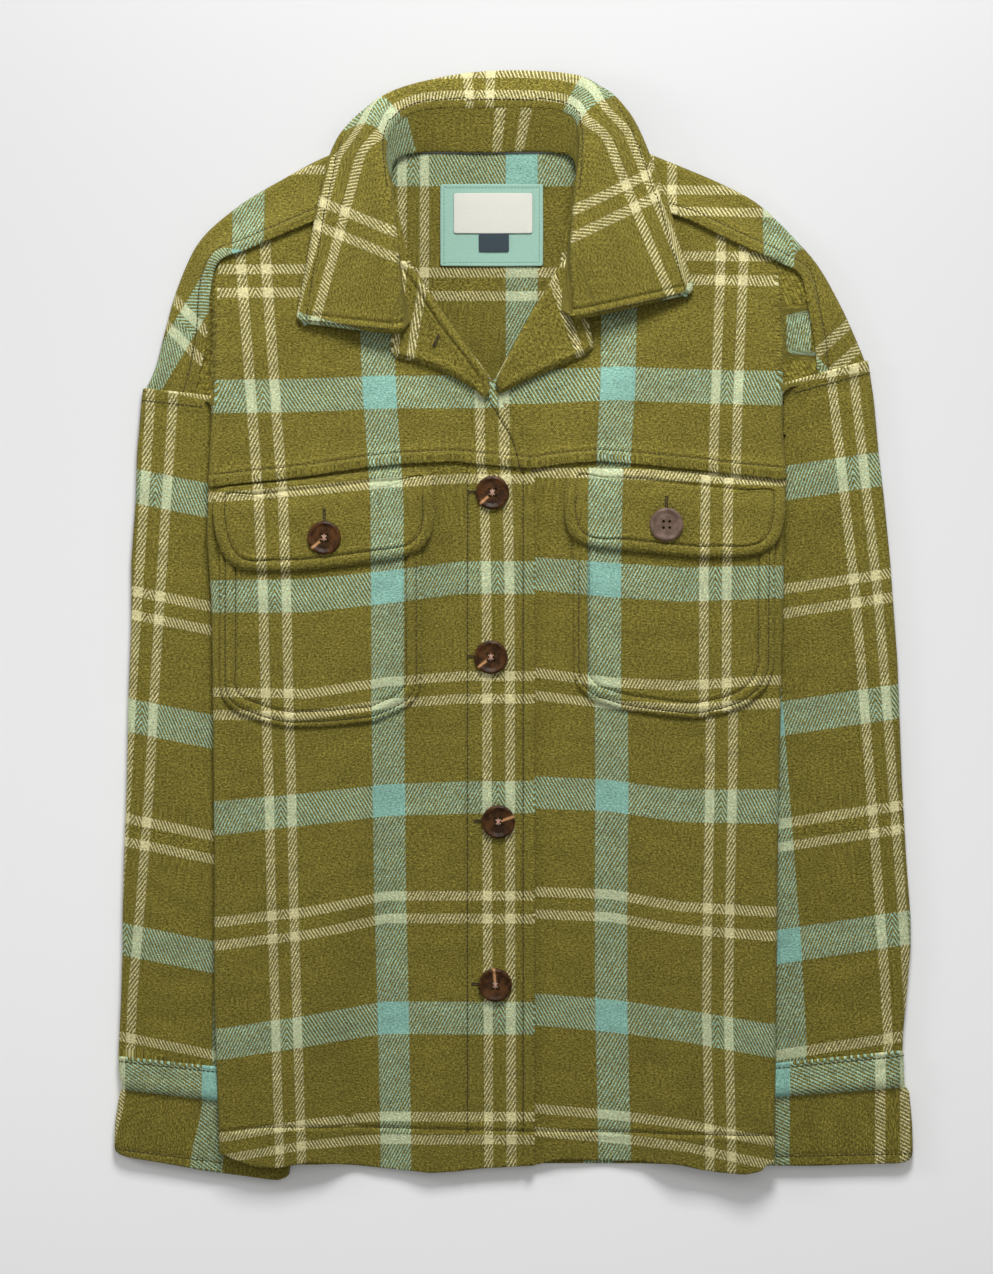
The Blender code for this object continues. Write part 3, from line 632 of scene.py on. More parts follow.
for side in ("left", "right"):
    outer, flat = cuff(side)
    piece = shell("cuff_" + side + "_cloth", outer, flat, wall=2.6, wrap=True)
    paths = []
    for share in CUFF_STITCH_SHARES:
        row = outer[np.argmin(np.abs(CUFF_SHARES - share))]
        beside_body = (row[:, 0] < -196) if side == "left" else (row[:, 0] > 172)
        paths.append(left_to_right(row, (row[:, 2] > SLEEVE_HEIGHT * 0.6) & beside_body))
    topstitch("cuff_stitches_" + side, paths)
    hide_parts("cuff_" + side)


# Back yoke. One flannel ply cut across the shoulders: flat inside the neck, rolled over each
# shoulder line and brought forward to a lapped, topstitched seam, with the drop shoulders
# running out to the armholes.
# Columns: shoulder fold x, y, front seam x, y
LEFT_SHOULDER = np.array([
    (-98, 330, -84, 296), (-130, 318, -112, 285), (-158, 303, -145, 271), (-186, 286, -180, 256),
    (-213, 262, -200, 247.5), (-228, 231, -206.5, 228), (-236, 204, -208.5, 200),
    (-243, 177, -213, 175), (-251, 159, -218.5, 154.5)], float)
RIGHT_SHOULDER = np.array([
    (70, 330, 44, 298), (103, 317, 80, 287), (141, 301, 114, 278), (168, 286, 154, 259),
    (193, 262, 180, 247.5), (209, 243, 196, 238), (224, 216, 202, 214), (234, 194, 206, 193),
    (241, 177, 208.5, 170)], float)
SHOULDER_ROLL = 2.7
YOKE_STITCHES_INSIDE = 6.8


def through(rows, values):
    """Cubic curve through all rows but the first and last, which only steer its ends.

    At each row it heads along the chord between that row's neighbours; values count rows."""
    index = np.minimum(values.astype(int), len(rows) - 4)
    t = (values - index).reshape((-1,) + (1,) * (rows.ndim - 1))
    before, start, end, after = (rows[index + step] for step in range(4))
    return 0.5 * (2 * start + (end - before) * t
                  + (2 * before - 5 * start + 4 * end - after) * t ** 2
                  + (3 * start - before - 3 * end + after) * t ** 3)


def spline(points, values):
    """Smooth curve through rows of numbers, its ends steered by their own last chords."""
    return through(np.vstack([2 * points[0] - points[1], points, 2 * points[-1] - points[-2]]),
                   values)


def front_level(x, y, laps_over):
    """Height of a front panel's visible side: lifted at the sides, the closing and the neck."""
    fold_left, fold_right = column(SIDE_FOLDS, 1, y), column(SIDE_FOLDS, 2, y)
    at_side = 1.0 - ease(8.0, 46.0, np.minimum(x - fold_left, fold_right - x))
    spread = SIDE_GAP * at_side * (1.0 - 0.85 * ease(200.0, 246.0, y))
    raised = over_sleeves(x, y)
    neck_lift = 4.4 * ease(126.0, 250.0, y) * (1.0 - raised)
    level = 2 * CLOTH + LAYER_GAP + OVER_SLEEVE * raised + spread + neck_lift
    if laps_over:
        level = level + (CLOTH + LAYER_GAP) * ease(-72.0, -36.0, x)
    return level


# Columns: x, hem y, chest seam y
FRONT_LINES = np.array([
    (-208, -350, 94), (-199, -356, 95), (-192, -361, 96), (-175, -367, 98), (-162, -368, 99),
    (-138, -364, 102), (-118, -366, 105), (-97, -368, 108), (-77, -370, 110), (-56, -372, 111),
    (-39, -371, 112), (-22, -369, 110), (14, -367, 107), (32, -363, 110), (59, -364, 112),
    (86, -364, 110), (114, -366, 107), (127, -369, 106), (141, -371, 104), (158, -372, 102),
    (168, -370, 101), (177, -362, 100), (186, -352, 99)], float)
# Columns: x, y of the stitching above the hem
HEM_STITCHES = np.array([(-200, -344), (-165, -341), (-60, -343), (20, -345), (120, -346),
                         (181, -347)], float)
CHEST_STITCHES_ABOVE = 7.2
PLACKET_STITCHES_INSIDE = 7.0
PLACKET_INNER_STITCHES_X = -31.0
LAPPED_EDGE_X = 14.0
# Distance from a side fold to where its bend has run out on top
BEND_REACH = 4.6
# Front edges above the chest seam. Columns: y, left front's edge x, right front's edge x
FRONT_EDGES = np.array([
    (100, 13.5, -31), (105, 12, -31), (119, 9, -30), (129, 5, -28), (139, -1, -25), (146, -5, -21),
    (153, -10, -18), (168, -16, -11), (186, -29, -1), (204, -43, 8), (222, -55, 20), (247, -71, 33),
    (292, -82, 42)], float)


def groove(distance, depth, width=0.9):
    """A row of stitching pulls the cloth down along its line and puffs it beside."""
    return (-depth * np.exp(-(distance / width) ** 2)
            + 0.35 * depth * np.exp(-((np.abs(distance) - 3.0) / 1.6) ** 2))


# Main folds of the fronts. Columns: x, y, half length, half width, turn, height
FRONT_CREASES = [
    (-150, -300, 90, 16, 84, 1.9), (-112, -330, 60, 12, 96, -1.6), (-60, -330, 70, 14, 88, 1.8),
    (-40, -230, 90, 16, 80, -1.1), (60, -320, 70, 15, 95, -1.5), (108, -330, 60, 14, 84, 1.7),
    (150, -330, 70, 13, 92, 1.8), (40, -180, 90, 18, 100, 1.1), (130, -200, 90, 20, 78, 1.0),
    (-130, -150, 80, 20, 100, 1.0), (-170, -220, 90, 12, 92, -1.1), (30, -60, 60, 14, 70, -0.9),
    (-45, -20, 60, 12, 96, -1.0), (25, 60, 50, 9, 84, -1.0), (-40, 60, 40, 9, 100, 0.8),
    (-90, 190, 46, 16, 128, 1.3), (-120, 150, 60, 14, 150, -1.1), (-150, 205, 40, 14, 115, 1.0),
    (70, 195, 46, 15, 58, 1.3), (100, 150, 60, 15, 30, -1.0), (140, 200, 42, 14, 70, 1.0),
    (-30, 130, 40, 8, 120, -1.0), (30, 140, 36, 9, 60, 0.8), (165, -90, 60, 12, 88, -0.8),
]
# Height on the body where its side fold ends and the front runs on to the yoke
FOLD_ENDS_Y = {"left": 156.0, "right": 165.5}


def front_top(side, x, y, upper):
    """Height of the visible side of a front, with its folds and the dents of its stitching.

    Above the armhole the panel drops at the body's fold and runs on, lower, to the yoke."""
    z = front_level(x, y, side == "left")
    inside = (x - column(SIDE_FOLDS, 1, y)) if side == "left" else (column(SIDE_FOLDS, 2, y) - x)
    deeper_below = 1.0 + 0.8 * ease(-40.0, -130.0, y)
    z = z + creases(FRONT_CREASES, x, y) * ease(0.0, 12.0, inside) * deeper_below
    if upper:
        above_seam = y - column(FRONT_LINES, 2, x)
        z = z + 2.9 * (1.0 - ease(6.5, 11.0, above_seam))
        z = z + groove(above_seam - CHEST_STITCHES_ABOVE, 2.1)
        strip = 4.8 + 4.4 * ease(158.0, 236.0, y)
        head = FOLD_ENDS_Y[side]
        drop = ease(head - 9.0, head, y) * (1.0 - ease(-3.0, BEND_REACH, inside))
        z = z + drop * (strip - z)
    else:
        above_hem = y - column(HEM_STITCHES, 1, x)
        z = z + 0.9 * (1.0 - ease(-1.5, 1.0, above_hem)) + groove(above_hem, 1.4)
    if side == "left":
        edge = LAPPED_EDGE_X
        if upper:
            edge = np.where(y < FRONT_EDGES[0, 0], LAPPED_EDGE_X, column(FRONT_EDGES, 1, y))
        z = z + groove(edge - PLACKET_STITCHES_INSIDE - x, 1.3)
        z = z + 0.6 * (1.0 - ease(6.0, 8.0, edge - x))
        if not upper:
            z = z + groove(x - PLACKET_INNER_STITCHES_X, 1.1)
    return z


def yoke_plaid(side, x, y, stations):
    """Flat coordinates over a shoulder: straight with the back near the neck, and turned with
    the arm on the drop shoulder, with a soft change where the shoulder ends."""
    turn = (ease(3.2, 4.6, stations) if side == "left"
            else 1.0 - (1.0 - ease(188.5, 197.0, x)) * ease(220.0, 231.0, y))
    if side == "left":
        near = np.stack([x - 42.0, y - 317.6], -1)
        u = -296.0 - 0.964 * (-0.716 * (x + 220.5) - 0.698 * (y - 200.1))
        v = -74.0 - 1.3 * (0.853 * (x + 224.9) - 0.522 * (y - 199.5))
    else:
        near = np.stack([x + 47.4 - 6.4 * ease(120.0, 168.0, x), y - 288.3], -1)
        u = 296.0 + 0.937 * (0.673 * (x - 221.7) - 0.74 * (y - 187.5))
        v = -49.0 + 0.74 * (x - 221.7) + 0.673 * (y - 187.5)
    far = np.stack([u, v], -1)
    return near + turn[..., None] * (far - near)


def yoke_part(side):
    """Over one shoulder: from under the fold, round the roll, and down to the front seam.

    Gives the visible side, its flat coordinates and the line of the stitching."""
    table = LEFT_SHOULDER if side == "left" else RIGHT_SHOULDER
    at = np.linspace(0.0, len(table) - 1.0, 150)
    stations = spline(table, at)
    fold, seam = stations[:, 0:2], stations[:, 2:4]
    inward = unit(seam - fold)
    radius = SHOULDER_ROLL + CLOTH / 2 - 0.9 * ease(7.0, 8.0, at)
    start = fold + inward * radius[:, None]
    length = np.linalg.norm(seam - start, axis=1)
    target = front_top(side, seam[:, 0], seam[:, 1], True) + 2.6
    ridge_share = 1.0 - 0.7 * ease(7.3, 8.0, at)
    rows, away = [], []
    for back in (30.0, 20.0, 10.0, 4.0):
        rows.append(np.column_stack([start + inward * back, np.zeros(at.size)]))
        away.append(-math.pi * radius - back)
    for angle in np.radians(np.linspace(-90.0, 90.0, 11)):
        spot = start - inward * (radius * math.cos(angle))[:, None]
        rows.append(np.column_stack([spot, radius + radius * math.sin(angle)]))
        away.append((angle - math.pi / 2) * radius)
    for share in np.concatenate([np.linspace(0.05, 0.62, 12), np.linspace(0.64, 1.0, 22)]):
        spot = start + share * (seam - start)
        to_edge = (1.0 - share) * length
        ridge = 1.8 * (1.0 - ease(6.6, 9.0, to_edge)) + groove(to_edge - YOKE_STITCHES_INSIDE, 1.9)
        z = 2 * radius + ease(0.1, 1.0, share) * (target - 2 * radius)
        rows.append(np.column_stack([spot, z + ridge * ridge_share * min(1.0, share * 3)]))
        away.append(share * length)
    outer, away = np.array(rows), np.array(away)
    place = start[None] + inward[None] * away[..., None]
    flat = yoke_plaid(side, place[..., 0], place[..., 1], np.repeat(at[None], len(rows), 0))
    row = np.argmin(np.abs(length[None] - away - YOKE_STITCHES_INSIDE), 0)
    sewn = outer[row, np.arange(at.size)]
    if side == "left":
        outer, flat = outer[:, ::-1], flat[:, ::-1]
    return outer[::-1], flat[::-1], sewn


for side in ("left", "right"):
    outer, flat, sewn = yoke_part(side)
    piece = shell("yoke_shoulder_" + side, outer, flat)
    topstitch("yoke_stitches_" + side, [sewn])
    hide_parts("back_yoke")

outline_left = LEFT_SHOULDER[::-1, 0:2] + (3.5, -3.5)
outline_right = RIGHT_SHOULDER[:, 0:2] + (-3.5, -3.5)
line = np.vstack([outline_left, [(-86, 321), (44, 321)], outline_right])
top_x = spline(line, np.linspace(0.0, len(line) - 1.0, 150))
low_x = np.interp(top_x[:, 0], (-247, 237), (-199, 177))
shares = np.linspace(0.0, 1.0, 60)[:, None]
low_y = np.where(top_x[:, 0] < -180, 155.3, np.where(top_x[:, 0] > 165, 163.3, BACK_SEAM_Y))
x = low_x + shares * (top_x[:, 0] - low_x)
y = low_y + shares * (top_x[:, 1] - low_y)
flat = np.stack([x + 68.0, np.interp(y, (80, 232.2, 310.8, 352), (-148, 0, 74, 113))], -1)
# Inside the neck the flannel is a darker copy, a painted shade for the collar's shadow there.
SHADED_INSIDE = plaid_flannel("plaid_flannel_shaded_inside", 0.84)
yoke = shell("back_yoke_cloth", np.stack([x, y, np.full_like(x, CLOTH)], -1), flat, material=SHADED_INSIDE)
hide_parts("back_yoke")


# Fronts. Each side has a lower and an upper panel, joined by a level seam across the chest
# whose upper panel laps over and is topstitched. The sides fold under onto the sleeves, the
# hem is turned up once, and the wearer's right front laps over the left.
# Warp stripes on the fronts.
# Columns: y, then x of the outer pair, aqua, centre pair, aqua, outer pair
WARP_LINES = np.array([
    (-357, -151, -79.6, -9.2, 69.9, 141), (-265, -154, -81.5, -9.4, 67.4, 138.8),
    (-190, -156.5, -83.5, -9.8, 67, 139.7), (-112, -158, -84.6, -9.9, 67.6, 141.4),
    (-60, -159.8, -85, -9.9, 67, 141.8), (31, -162, -85, -10.4, 67, 142),
    (85, -164.2, -85, -11.8, 67.6, 142.8), (118, -167, -87.4, -14.5, 69.3, 144),
    (160, -170, -90.5, -15.3, 72.2, 145.4), (250, -176.6, -94, -16, 74, 149)], float)
# Weft stripes below the chest seam. Columns: x, then y of V = -444, -370 ... 0
LEFT_WEFT = np.array([
    (-200, -355.6, -285.3, -209.8, -131.2, -53.0, 19.0, 94.4),
    (-140, -345.8, -276, -203, -124.5, -54.4, 19.5, 99.5),
    (-87, -342.4, -267.6, -192.1, -119.3, -46.0, 24.8, 104.5),
    (-35, -342.4, -267.6, -192.1, -117.6, -42.5, 32.3, 107.4),
    (14, -342.4, -267.6, -192.1, -117.0, -42.5, 32.3, 107.0)], float)
RIGHT_WEFT = np.array([
    (14, -337, -261.5, -189.4, -113.9, -40.1, 35.0, 111.7),
    (66, -341.7, -266.2, -191.1, -115.6, -47.0, 30.3, 111.0),
    (114, -346.1, -271.7, -199.2, -122.7, -49.0, 26.9, 109.5),
    (175, -358.4, -282.5, -203, -123.1, -45.2, 28.9, 105.6)], float)
LEFT_WEFT_UPPER = np.array([(-200, 80, 154.7, 233.6, 310), (-140, 82, 155.7, 234, 310),
                            (-90, 84, 157.8, 236, 312), (14, 85, 159, 238, 314)], float)
RIGHT_WEFT_UPPER = np.array([(14, 85, 162, 242, 318), (73, 88, 164, 243, 318),
                             (114, 87, 162, 243, 318), (184, 86, 160, 242, 318)], float)


HALF_REPEAT = 74.0


def between_lines(value, lines, first):
    """Flat coordinate between measured stripes: linear from one line to the next.

    lines are arrays of where the stripes lie, half a repeat apart, from value first up."""
    result = first + (value - lines[0]) * HALF_REPEAT / (lines[1] - lines[0])
    for step in range(1, len(lines) - 1):
        here = (first + HALF_REPEAT * step
                + (value - lines[step]) * HALF_REPEAT / (lines[step + 1] - lines[step]))
        result = np.where(value > lines[step], here, result)
    return result


def front_plaid(side, x, y, upper):
    """Flat coordinates on the fronts, so that every stripe lies where the photograph has it."""
    u = between_lines(x, [column(WARP_LINES, k, y) for k in range(1, 6)], -148.0)
    if upper:
        table = LEFT_WEFT_UPPER if side == "left" else RIGHT_WEFT_UPPER
        v = between_lines(y, [column(table, k, x) for k in range(1, 5)], 0.0)
    else:
        table = LEFT_WEFT if side == "left" else RIGHT_WEFT
        v = between_lines(y, [column(table, k, x) for k in range(1, 8)], -444.0)
    return np.stack([u, v], -1)


def front(side, upper):
    """Front panel on a grid: rows climb from its lower line to its upper one, columns run from
    the turned-under side, round the side fold, to the free edge."""
    lap = 8.0
    low = FRONT_LINES[:, [0, 2 if upper else 1]]
    nominal_low, nominal_high = (104.0, 270.0) if upper else (-366.0, 106.0 + lap)
    ys = spaced([nominal_low, nominal_low + 3.0, nominal_low + 21.0, nominal_high - 4.0,
                 nominal_high], 2.6)
    sewn = nominal_low + (np.arange(3.2, 12.0, 0.8) if upper else np.arange(13.0, 31.0, 1.0))
    ys = np.sort(np.concatenate([ys[(ys < sewn[0] - 0.4) | (ys > sewn[-1] + 0.4)], sewn]))
    share = (ys - ys[0]) / (ys[-1] - ys[0])
    sign = 1.0 if side == "left" else -1.0
    k = 1 if side == "left" else 2
    steps = spaced([0.0, 0.94, 0.985, 1.0], 0.0112)
    if side == "left":
        sewn = np.concatenate([np.arange(0.776, 0.80, 0.0033), np.arange(0.945, 0.99, 0.0033)])
        steps = np.unique(np.round(np.concatenate([steps, sewn]), 5))
    yoke = np.vstack([LEFT_SHOULDER[:5, 2:4][::-1], RIGHT_SHOULDER[:5, 2:4]])
    y_fold = y_edge = nominal_low + share * (nominal_high - nominal_low)
    for _ in range(5):
        fold_x = column(SIDE_FOLDS, k, y_fold)
        if upper:
            edge_x = column(FRONT_EDGES, k, y_edge)
        elif side == "left":
            edge_x = np.where(y_edge < FRONT_EDGES[0, 0], LAPPED_EDGE_X,
                              column(FRONT_EDGES, 1, y_edge) - 0.8)
        else:
            edge_x = np.full(share.size, FRONT_EDGES[0, 2])
        start_x = fold_x + sign * BEND_REACH
        x = start_x[:, None] + steps * (edge_x - start_x)[:, None]
        y_low = column(low, 1, x)
        y_high = (np.interp(x, yoke[:, 0], yoke[:, 1]) + 4.0 if upper
                  else column(FRONT_LINES, 2, x) + lap)
        y = y_low + share[:, None] * (y_high - y_low)
        y_fold, y_edge = y[:, 0], y[:, -1]
    z = front_top(side, x, y, upper)
    if not upper:
        z = z - 1.2 * ease(-lap - 4.0, -lap + 1.0, y - y_high)
    # At the lapped edge the weave is mirrored, so that the next stripe doesn't show there.
    plaid_y = y_low + 2.5 + np.abs(y - y_low - 2.5) if upper else y
    flat = front_plaid(side, x, plaid_y, upper)
    z_edge = z[:, 0]
    z_under = OVER_SLEEVE + 0.05
    radius = (z_edge - z_under) / 2
    angles = np.radians(np.linspace(270.0, 90.0, 12)[:-1])
    centre = fold_x + sign * radius
    arc_x = centre[:, None] + sign * radius[:, None] * np.cos(angles)
    arc_z = z_under + radius[:, None] * (1.0 + np.sin(angles))
    under_x = fold_x[:, None] + sign * np.array([18.0, 13.0, 9.0])
    side_x = np.concatenate([under_x, arc_x], 1)
    side_z = np.concatenate([np.full(under_x.shape, z_under), arc_z], 1)
    side_y = np.repeat(y[:, :1], side_x.shape[1], 1)
    if upper:
        table = LEFT_SHOULDER if side == "left" else RIGHT_SHOULDER
        seam_x = np.interp(y_fold, table[:3:-1, 3], table[:3:-1, 2]) - sign * 3.0
        out = np.linspace(0.0, 1.0, side_x.shape[1] + 1)[:-1]
        first = np.searchsorted(out, 0.9)
        out[first] = out[first - 1] + 0.002
        strip_x = seam_x[:, None] + out * (start_x - seam_x)[:, None]
        strip_z = front_top(side, strip_x, side_y, True)
        head = FOLD_ENDS_Y[side]
        beyond = ease(head - 9.0, head, side_y)
        side_x = side_x + beyond * (strip_x - side_x)
        side_z = side_z + beyond * (strip_z - side_z)
        patch = ease(181.0, 186.0, side_y) * ease(217.0, 211.0, side_y) * (side == "right")
        strip_u = flat[:, :1, 0] - sign * 0.4 * np.abs(start_x[:, None] - strip_x)
        strip_u = strip_u + patch * (211.0 + 1.3 * (strip_x - 186.0) - strip_u)
        strip_flat = np.stack([strip_u, 37.0 + 0.5 * (side_y - 200.0)], -1)
    path_x = np.concatenate([side_x, x[:, :1]], 1)
    path_z = np.concatenate([side_z, z[:, :1]], 1)
    gap = np.hypot(np.diff(path_x), np.diff(path_z))
    away = np.cumsum(gap[:, ::-1], 1)[:, ::-1]
    if upper:
        away = away * (1.0 - 0.85 * beyond)
    side_flat = np.stack([flat[:, :1, 0] - sign * away,
                          np.repeat(flat[:, :1, 1], away.shape[1], 1)], -1)
    if upper:
        strip_share = beyond * (np.arange(out.size) < first)
        side_flat = side_flat + strip_share[..., None] * (strip_flat - side_flat)
    outer = np.concatenate([np.stack([side_x, side_y, side_z], -1), np.stack([x, y, z], -1)], 1)
    flat = np.concatenate([side_flat, flat], 1)
    if side == "right":
        outer, flat = outer[:, ::-1], flat[:, ::-1]
    return outer, flat


for side in ("left", "right"):
    for upper in (False, True):
        outer, flat = front(side, upper)
        node = ("front_upper_" if upper else "front_lower_") + side
        piece = shell(node + "_cloth", outer, flat, wall=2.0)
        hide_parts(node)


def on_front(side, upper, x, y):
    """Points on the visible side of a front."""
    return np.column_stack([x, y, front_top(side, x, y, upper)])


left_x, right_x = np.linspace(-201.0, 12.0, 150), np.linspace(15.0, 181.0, 120)
down = np.linspace(-346.0, 98.0, 300)
up = np.linspace(104.0, 150.0, 40)
topstitch("front_stitches", [
    on_front("left", False, left_x, column(HEM_STITCHES, 1, left_x)),
    on_front("right", False, right_x, column(HEM_STITCHES, 1, right_x)),
    on_front("left", True, left_x, column(FRONT_LINES, 2, left_x) + CHEST_STITCHES_ABOVE),
    on_front("right", True, right_x, column(FRONT_LINES, 2, right_x) + CHEST_STITCHES_ABOVE),
    on_front("left", False, np.full(down.size, LAPPED_EDGE_X - PLACKET_STITCHES_INSIDE), down),
    on_front("left", False, np.full(down.size, PLACKET_INNER_STITCHES_X), down),
    on_front("left", True, column(FRONT_EDGES, 1, up) - PLACKET_STITCHES_INSIDE, up)])


# Lapels, pockets and flaps. Each lies on a front: cut to its outline, its edges turned in and
# topstitched, so it swells a little inside the stitching and rounds off at the rim.
def outline_loop(outline, step, soften):
    """Closed outline at even steps, its corners rounded by averaging along the loop."""
    corners = np.array(outline, float)
    closed = np.vstack([corners, corners[:1]])
    length = np.concatenate([[0.0], np.cumsum(np.linalg.norm(np.diff(closed, axis=0), axis=1))])
    count = int(length[-1] / step)
    at = np.linspace(0.0, length[-1], count, endpoint=False)
    loop = np.column_stack([np.interp(at, length, closed[:, k]) for k in (0, 1)])
    for _ in range(soften):
        loop = 0.25 * np.roll(loop, 1, 0) + 0.5 * loop + 0.25 * np.roll(loop, -1, 0)
    area = 0.5 * np.sum(loop[:, 0] * np.roll(loop[:, 1], -1) - loop[:, 1] * np.roll(loop[:, 0], -1))
    return loop if area > 0 else loop[::-1]


def laid_piece(name, outline, height, plaid, wall, edge_reach=13.0, soften=4, step=2.2, **look):
    """Piece on a panel, as rings that follow its outline inwards and then close at its middle.

    Ring points move in along the line to the middle by the distance from the rim over the
    cosine to the rim's normal; height(x, y, distance from the rim) gives the visible side."""
    loop = outline_loop(outline, step, soften)
    middle = (loop.max(0) + loop.min(0)) / 2
    ray = unit(loop - middle)
    tangent = unit(np.roll(loop, -1, 0) - np.roll(loop, 1, 0))
    normal = np.column_stack([tangent[:, 1], -tangent[:, 0]])
    facing = np.maximum(np.sum(ray * normal, 1), 0.35)
    reach = np.linalg.norm(loop - middle, axis=1)
    inset = spaced([0.0, 1.2, edge_reach], 0.9)
    grid, depth = [], []
    for d in inset:
        along = np.minimum(d / facing, 0.7 * reach)
        grid.append(loop - ray * along[:, None])
        depth.append(np.full(len(loop), d))
    inner = grid[-1]
    span = np.linalg.norm(inner - middle, axis=1).mean()
    for share in np.linspace(0.0, 1.0, max(int(span / 2.4), 3))[1:]:
        grid.append(inner + share * (middle - inner))
        depth.append(edge_reach + share * np.linalg.norm(inner - middle, axis=1))
    grid, depth = np.array(grid), np.array(depth)
    x, y = grid[..., 0], grid[..., 1]
    outer = np.stack([x, y, height(x, y, depth)], -1)
    piece = shell(name, outer, plaid(x, y), wall=wall, wrap=True, pole=True, straight_down=True,
                  **look)
    return piece, outer[:inset.size], inset


POCKETS = {
    "left": [(-198, 86), (-198, -44), (-194, -53), (-186, -59), (-167, -66), (-152, -69),
             (-124, -68), (-94, -65), (-74, -56), (-65, -48), (-63, -37), (-63, 90)],
    "right": [(42, 92), (42, -31), (44, -41), (53, -50), (75, -57), (103, -61), (124, -63),
              (144, -59), (158, -54), (170, -44), (176, -31), (177, 84)]}
FLAPS = {
    "left": [(-202, 93), (-203, 78), (-201, 62), (-197, 49), (-190, 40), (-180, 37),
             (-145, 37), (-110, 41), (-77, 46), (-64, 50), (-56, 60), (-54, 72), (-55, 106),
             (-97, 104), (-131, 100)],
    "right": [(38, 107), (36, 90), (35, 76), (38, 63), (44, 56), (54, 53), (86, 50), (127, 46),
              (160, 47), (172, 50), (180, 58), (184, 74), (184, 95), (141, 100), (86, 106)]}
RIGHT_POCKET_SHIFT = 4.6
POCKET_STITCHES_INSIDE = (2.6, 9.6)
FLAP_STITCHES_INSIDE = 6.8


def panel_plaid(side):
    """The plaid of a pocket or flap, matched to the front; the right one is a little aside."""
    def plaid(x, y):
        flat = front_plaid(side, x, y, False)
        if side == "right":
            flat[..., 0] += RIGHT_POCKET_SHIFT
        return flat
    return plaid


def pocket_top(side):
    """Pocket: one ply over the front, with a raised turned edge and two rows of stitching."""
    def height(x, y, d):
        z = front_top(side, x, y, False) + 2.5
        z = z + 0.8 * (1.0 - ease(8.5, 11.0, d))
        for inside, depth in zip(POCKET_STITCHES_INSIDE, (1.1, 1.6)):
            z = z + groove(d - inside, depth, 0.8)
        return z - 1.0 * (1.0 - ease(0.0, 1.6, d)) - 2.0 * ease(70.0, 88.0, y)
    return height


def flap_top(side):
    """Flap: two plies over the pocket, lifted along its free edge, flat into the seam above."""
    def height(x, y, d):
        seam = column(FRONT_LINES, 2, x)
        z = front_top(side, x, y, False) + 6.0
        z = z + 0.6 * (1.0 - ease(6.0, 8.0, d)) + groove(d - FLAP_STITCHES_INSIDE, 1.7, 0.8)
        z = z - 1.1 * (1.0 - ease(0.0, 1.4, d))
        lifted = 0.9 * np.exp(-((y - 48.0) / 14.0) ** 2)
        return z + lifted - 4.6 * ease(-24.0, -2.0, y - seam)
    return height


def sewn_edge(rings, inset, inside, below):
    """The ring of a laid piece nearest to a distance from its rim, where it lies below a y."""
    ring = rings[np.argmin(np.abs(inset - inside))]
    ring = np.roll(ring, -np.argmax(ring[:, 1]), 0)
    return ring[ring[:, 1] < below]


for side in ("left", "right"):
    piece, rings, inset = laid_piece("pocket_" + side + "_cloth", POCKETS[side],
                                     pocket_top(side), panel_plaid(side), 2.1)
    topstitch("pocket_stitches_" + side,
              [sewn_edge(rings, inset, inside, 46.0) for inside in POCKET_STITCHES_INSIDE])
    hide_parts("pocket_" + side)
    piece, rings, inset = laid_piece("flap_" + side + "_cloth", FLAPS[side], flap_top(side),
                                     panel_plaid(side), 2.4, soften=8)
    topstitch("flap_stitches_" + side, [sewn_edge(rings, inset, FLAP_STITCHES_INSIDE, 90.0)])
    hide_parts("flap_" + side)

LAPELS = {
    "left": [(-72, 246), (-65, 237), (-55, 221), (-43, 203), (-29, 185), (-17, 169),
             (-17, 156), (-19, 153), (-25, 160), (-33, 165), (-43, 171), (-56, 177),
             (-70, 181), (-78, 182), (-82, 187), (-80, 215), (-77, 246)],
    "right": [(34, 247), (30, 240), (20, 222), (8, 202), (0, 187), (-7, 175), (-11, 166),
              (-9, 158), (5, 165), (18, 171), (32, 177), (42, 182), (50, 185), (54, 190),
              (52, 198), (46, 222), (40, 247)]}


def lapel_top(side):
    """Lapel: facing and front turned outwards, round along the roll line and flat at its edge."""
    def height(x, y, d):
        roll = np.interp(y, FRONT_EDGES[5:, 0], FRONT_EDGES[5:, 1 if side == "left" else 2])
        from_roll = (roll - x) if side == "left" else (x - roll)
        z = front_top(side, x, y, True) + 5.0
        swell = 3.4 * np.exp(-np.maximum(from_roll, 0.0) / 13.0) * ease(150.0, 185.0, y)
        edge = 0.7 * (1.0 - ease(5.0, 8.0, d)) + groove(d - 6.4, 0.35)
        return z + swell + ease(6.0, 12.0, from_roll) * edge - 1.8 * (1.0 - ease(0.0, 2.8, d)) ** 2
    return height


# Cream pair of a facing. Columns: y, left middle x, left half gap, right middle x, right half gap
LAPEL_PAIR = np.array([
    (181, -75.0, 4.2, 52.0, 4.7), (187, -74.5, 4.6, 50.4, 4.7), (205, -72.5, 5.5, 44.1, 5.3),
    (229, -68.5, 7.2, 36.2, 7.2), (246, -67.3, 7.5, 32.0, 7.5)], float)


def lapel_plaid(side):
    """Flat coordinates on a facing, whose cream pair runs down beside the collar and narrows.

    U is the distance from the pair, drawn out near it by a bell to fit the measured gap."""
    def plaid(x, y):
        k = 1 if side == "left" else 3
        off = x - column(LAPEL_PAIR, k, y)
        narrow = 1000.0 * PAIR_HALF_PITCH / column(LAPEL_PAIR, k + 1, y) - 1.0
        u = off * (1.0 + narrow * np.exp(-(off / 9.0) ** 2))
        return np.stack([u, 62.0 - 0.6 * (y - 157.0)], -1)
    return plaid


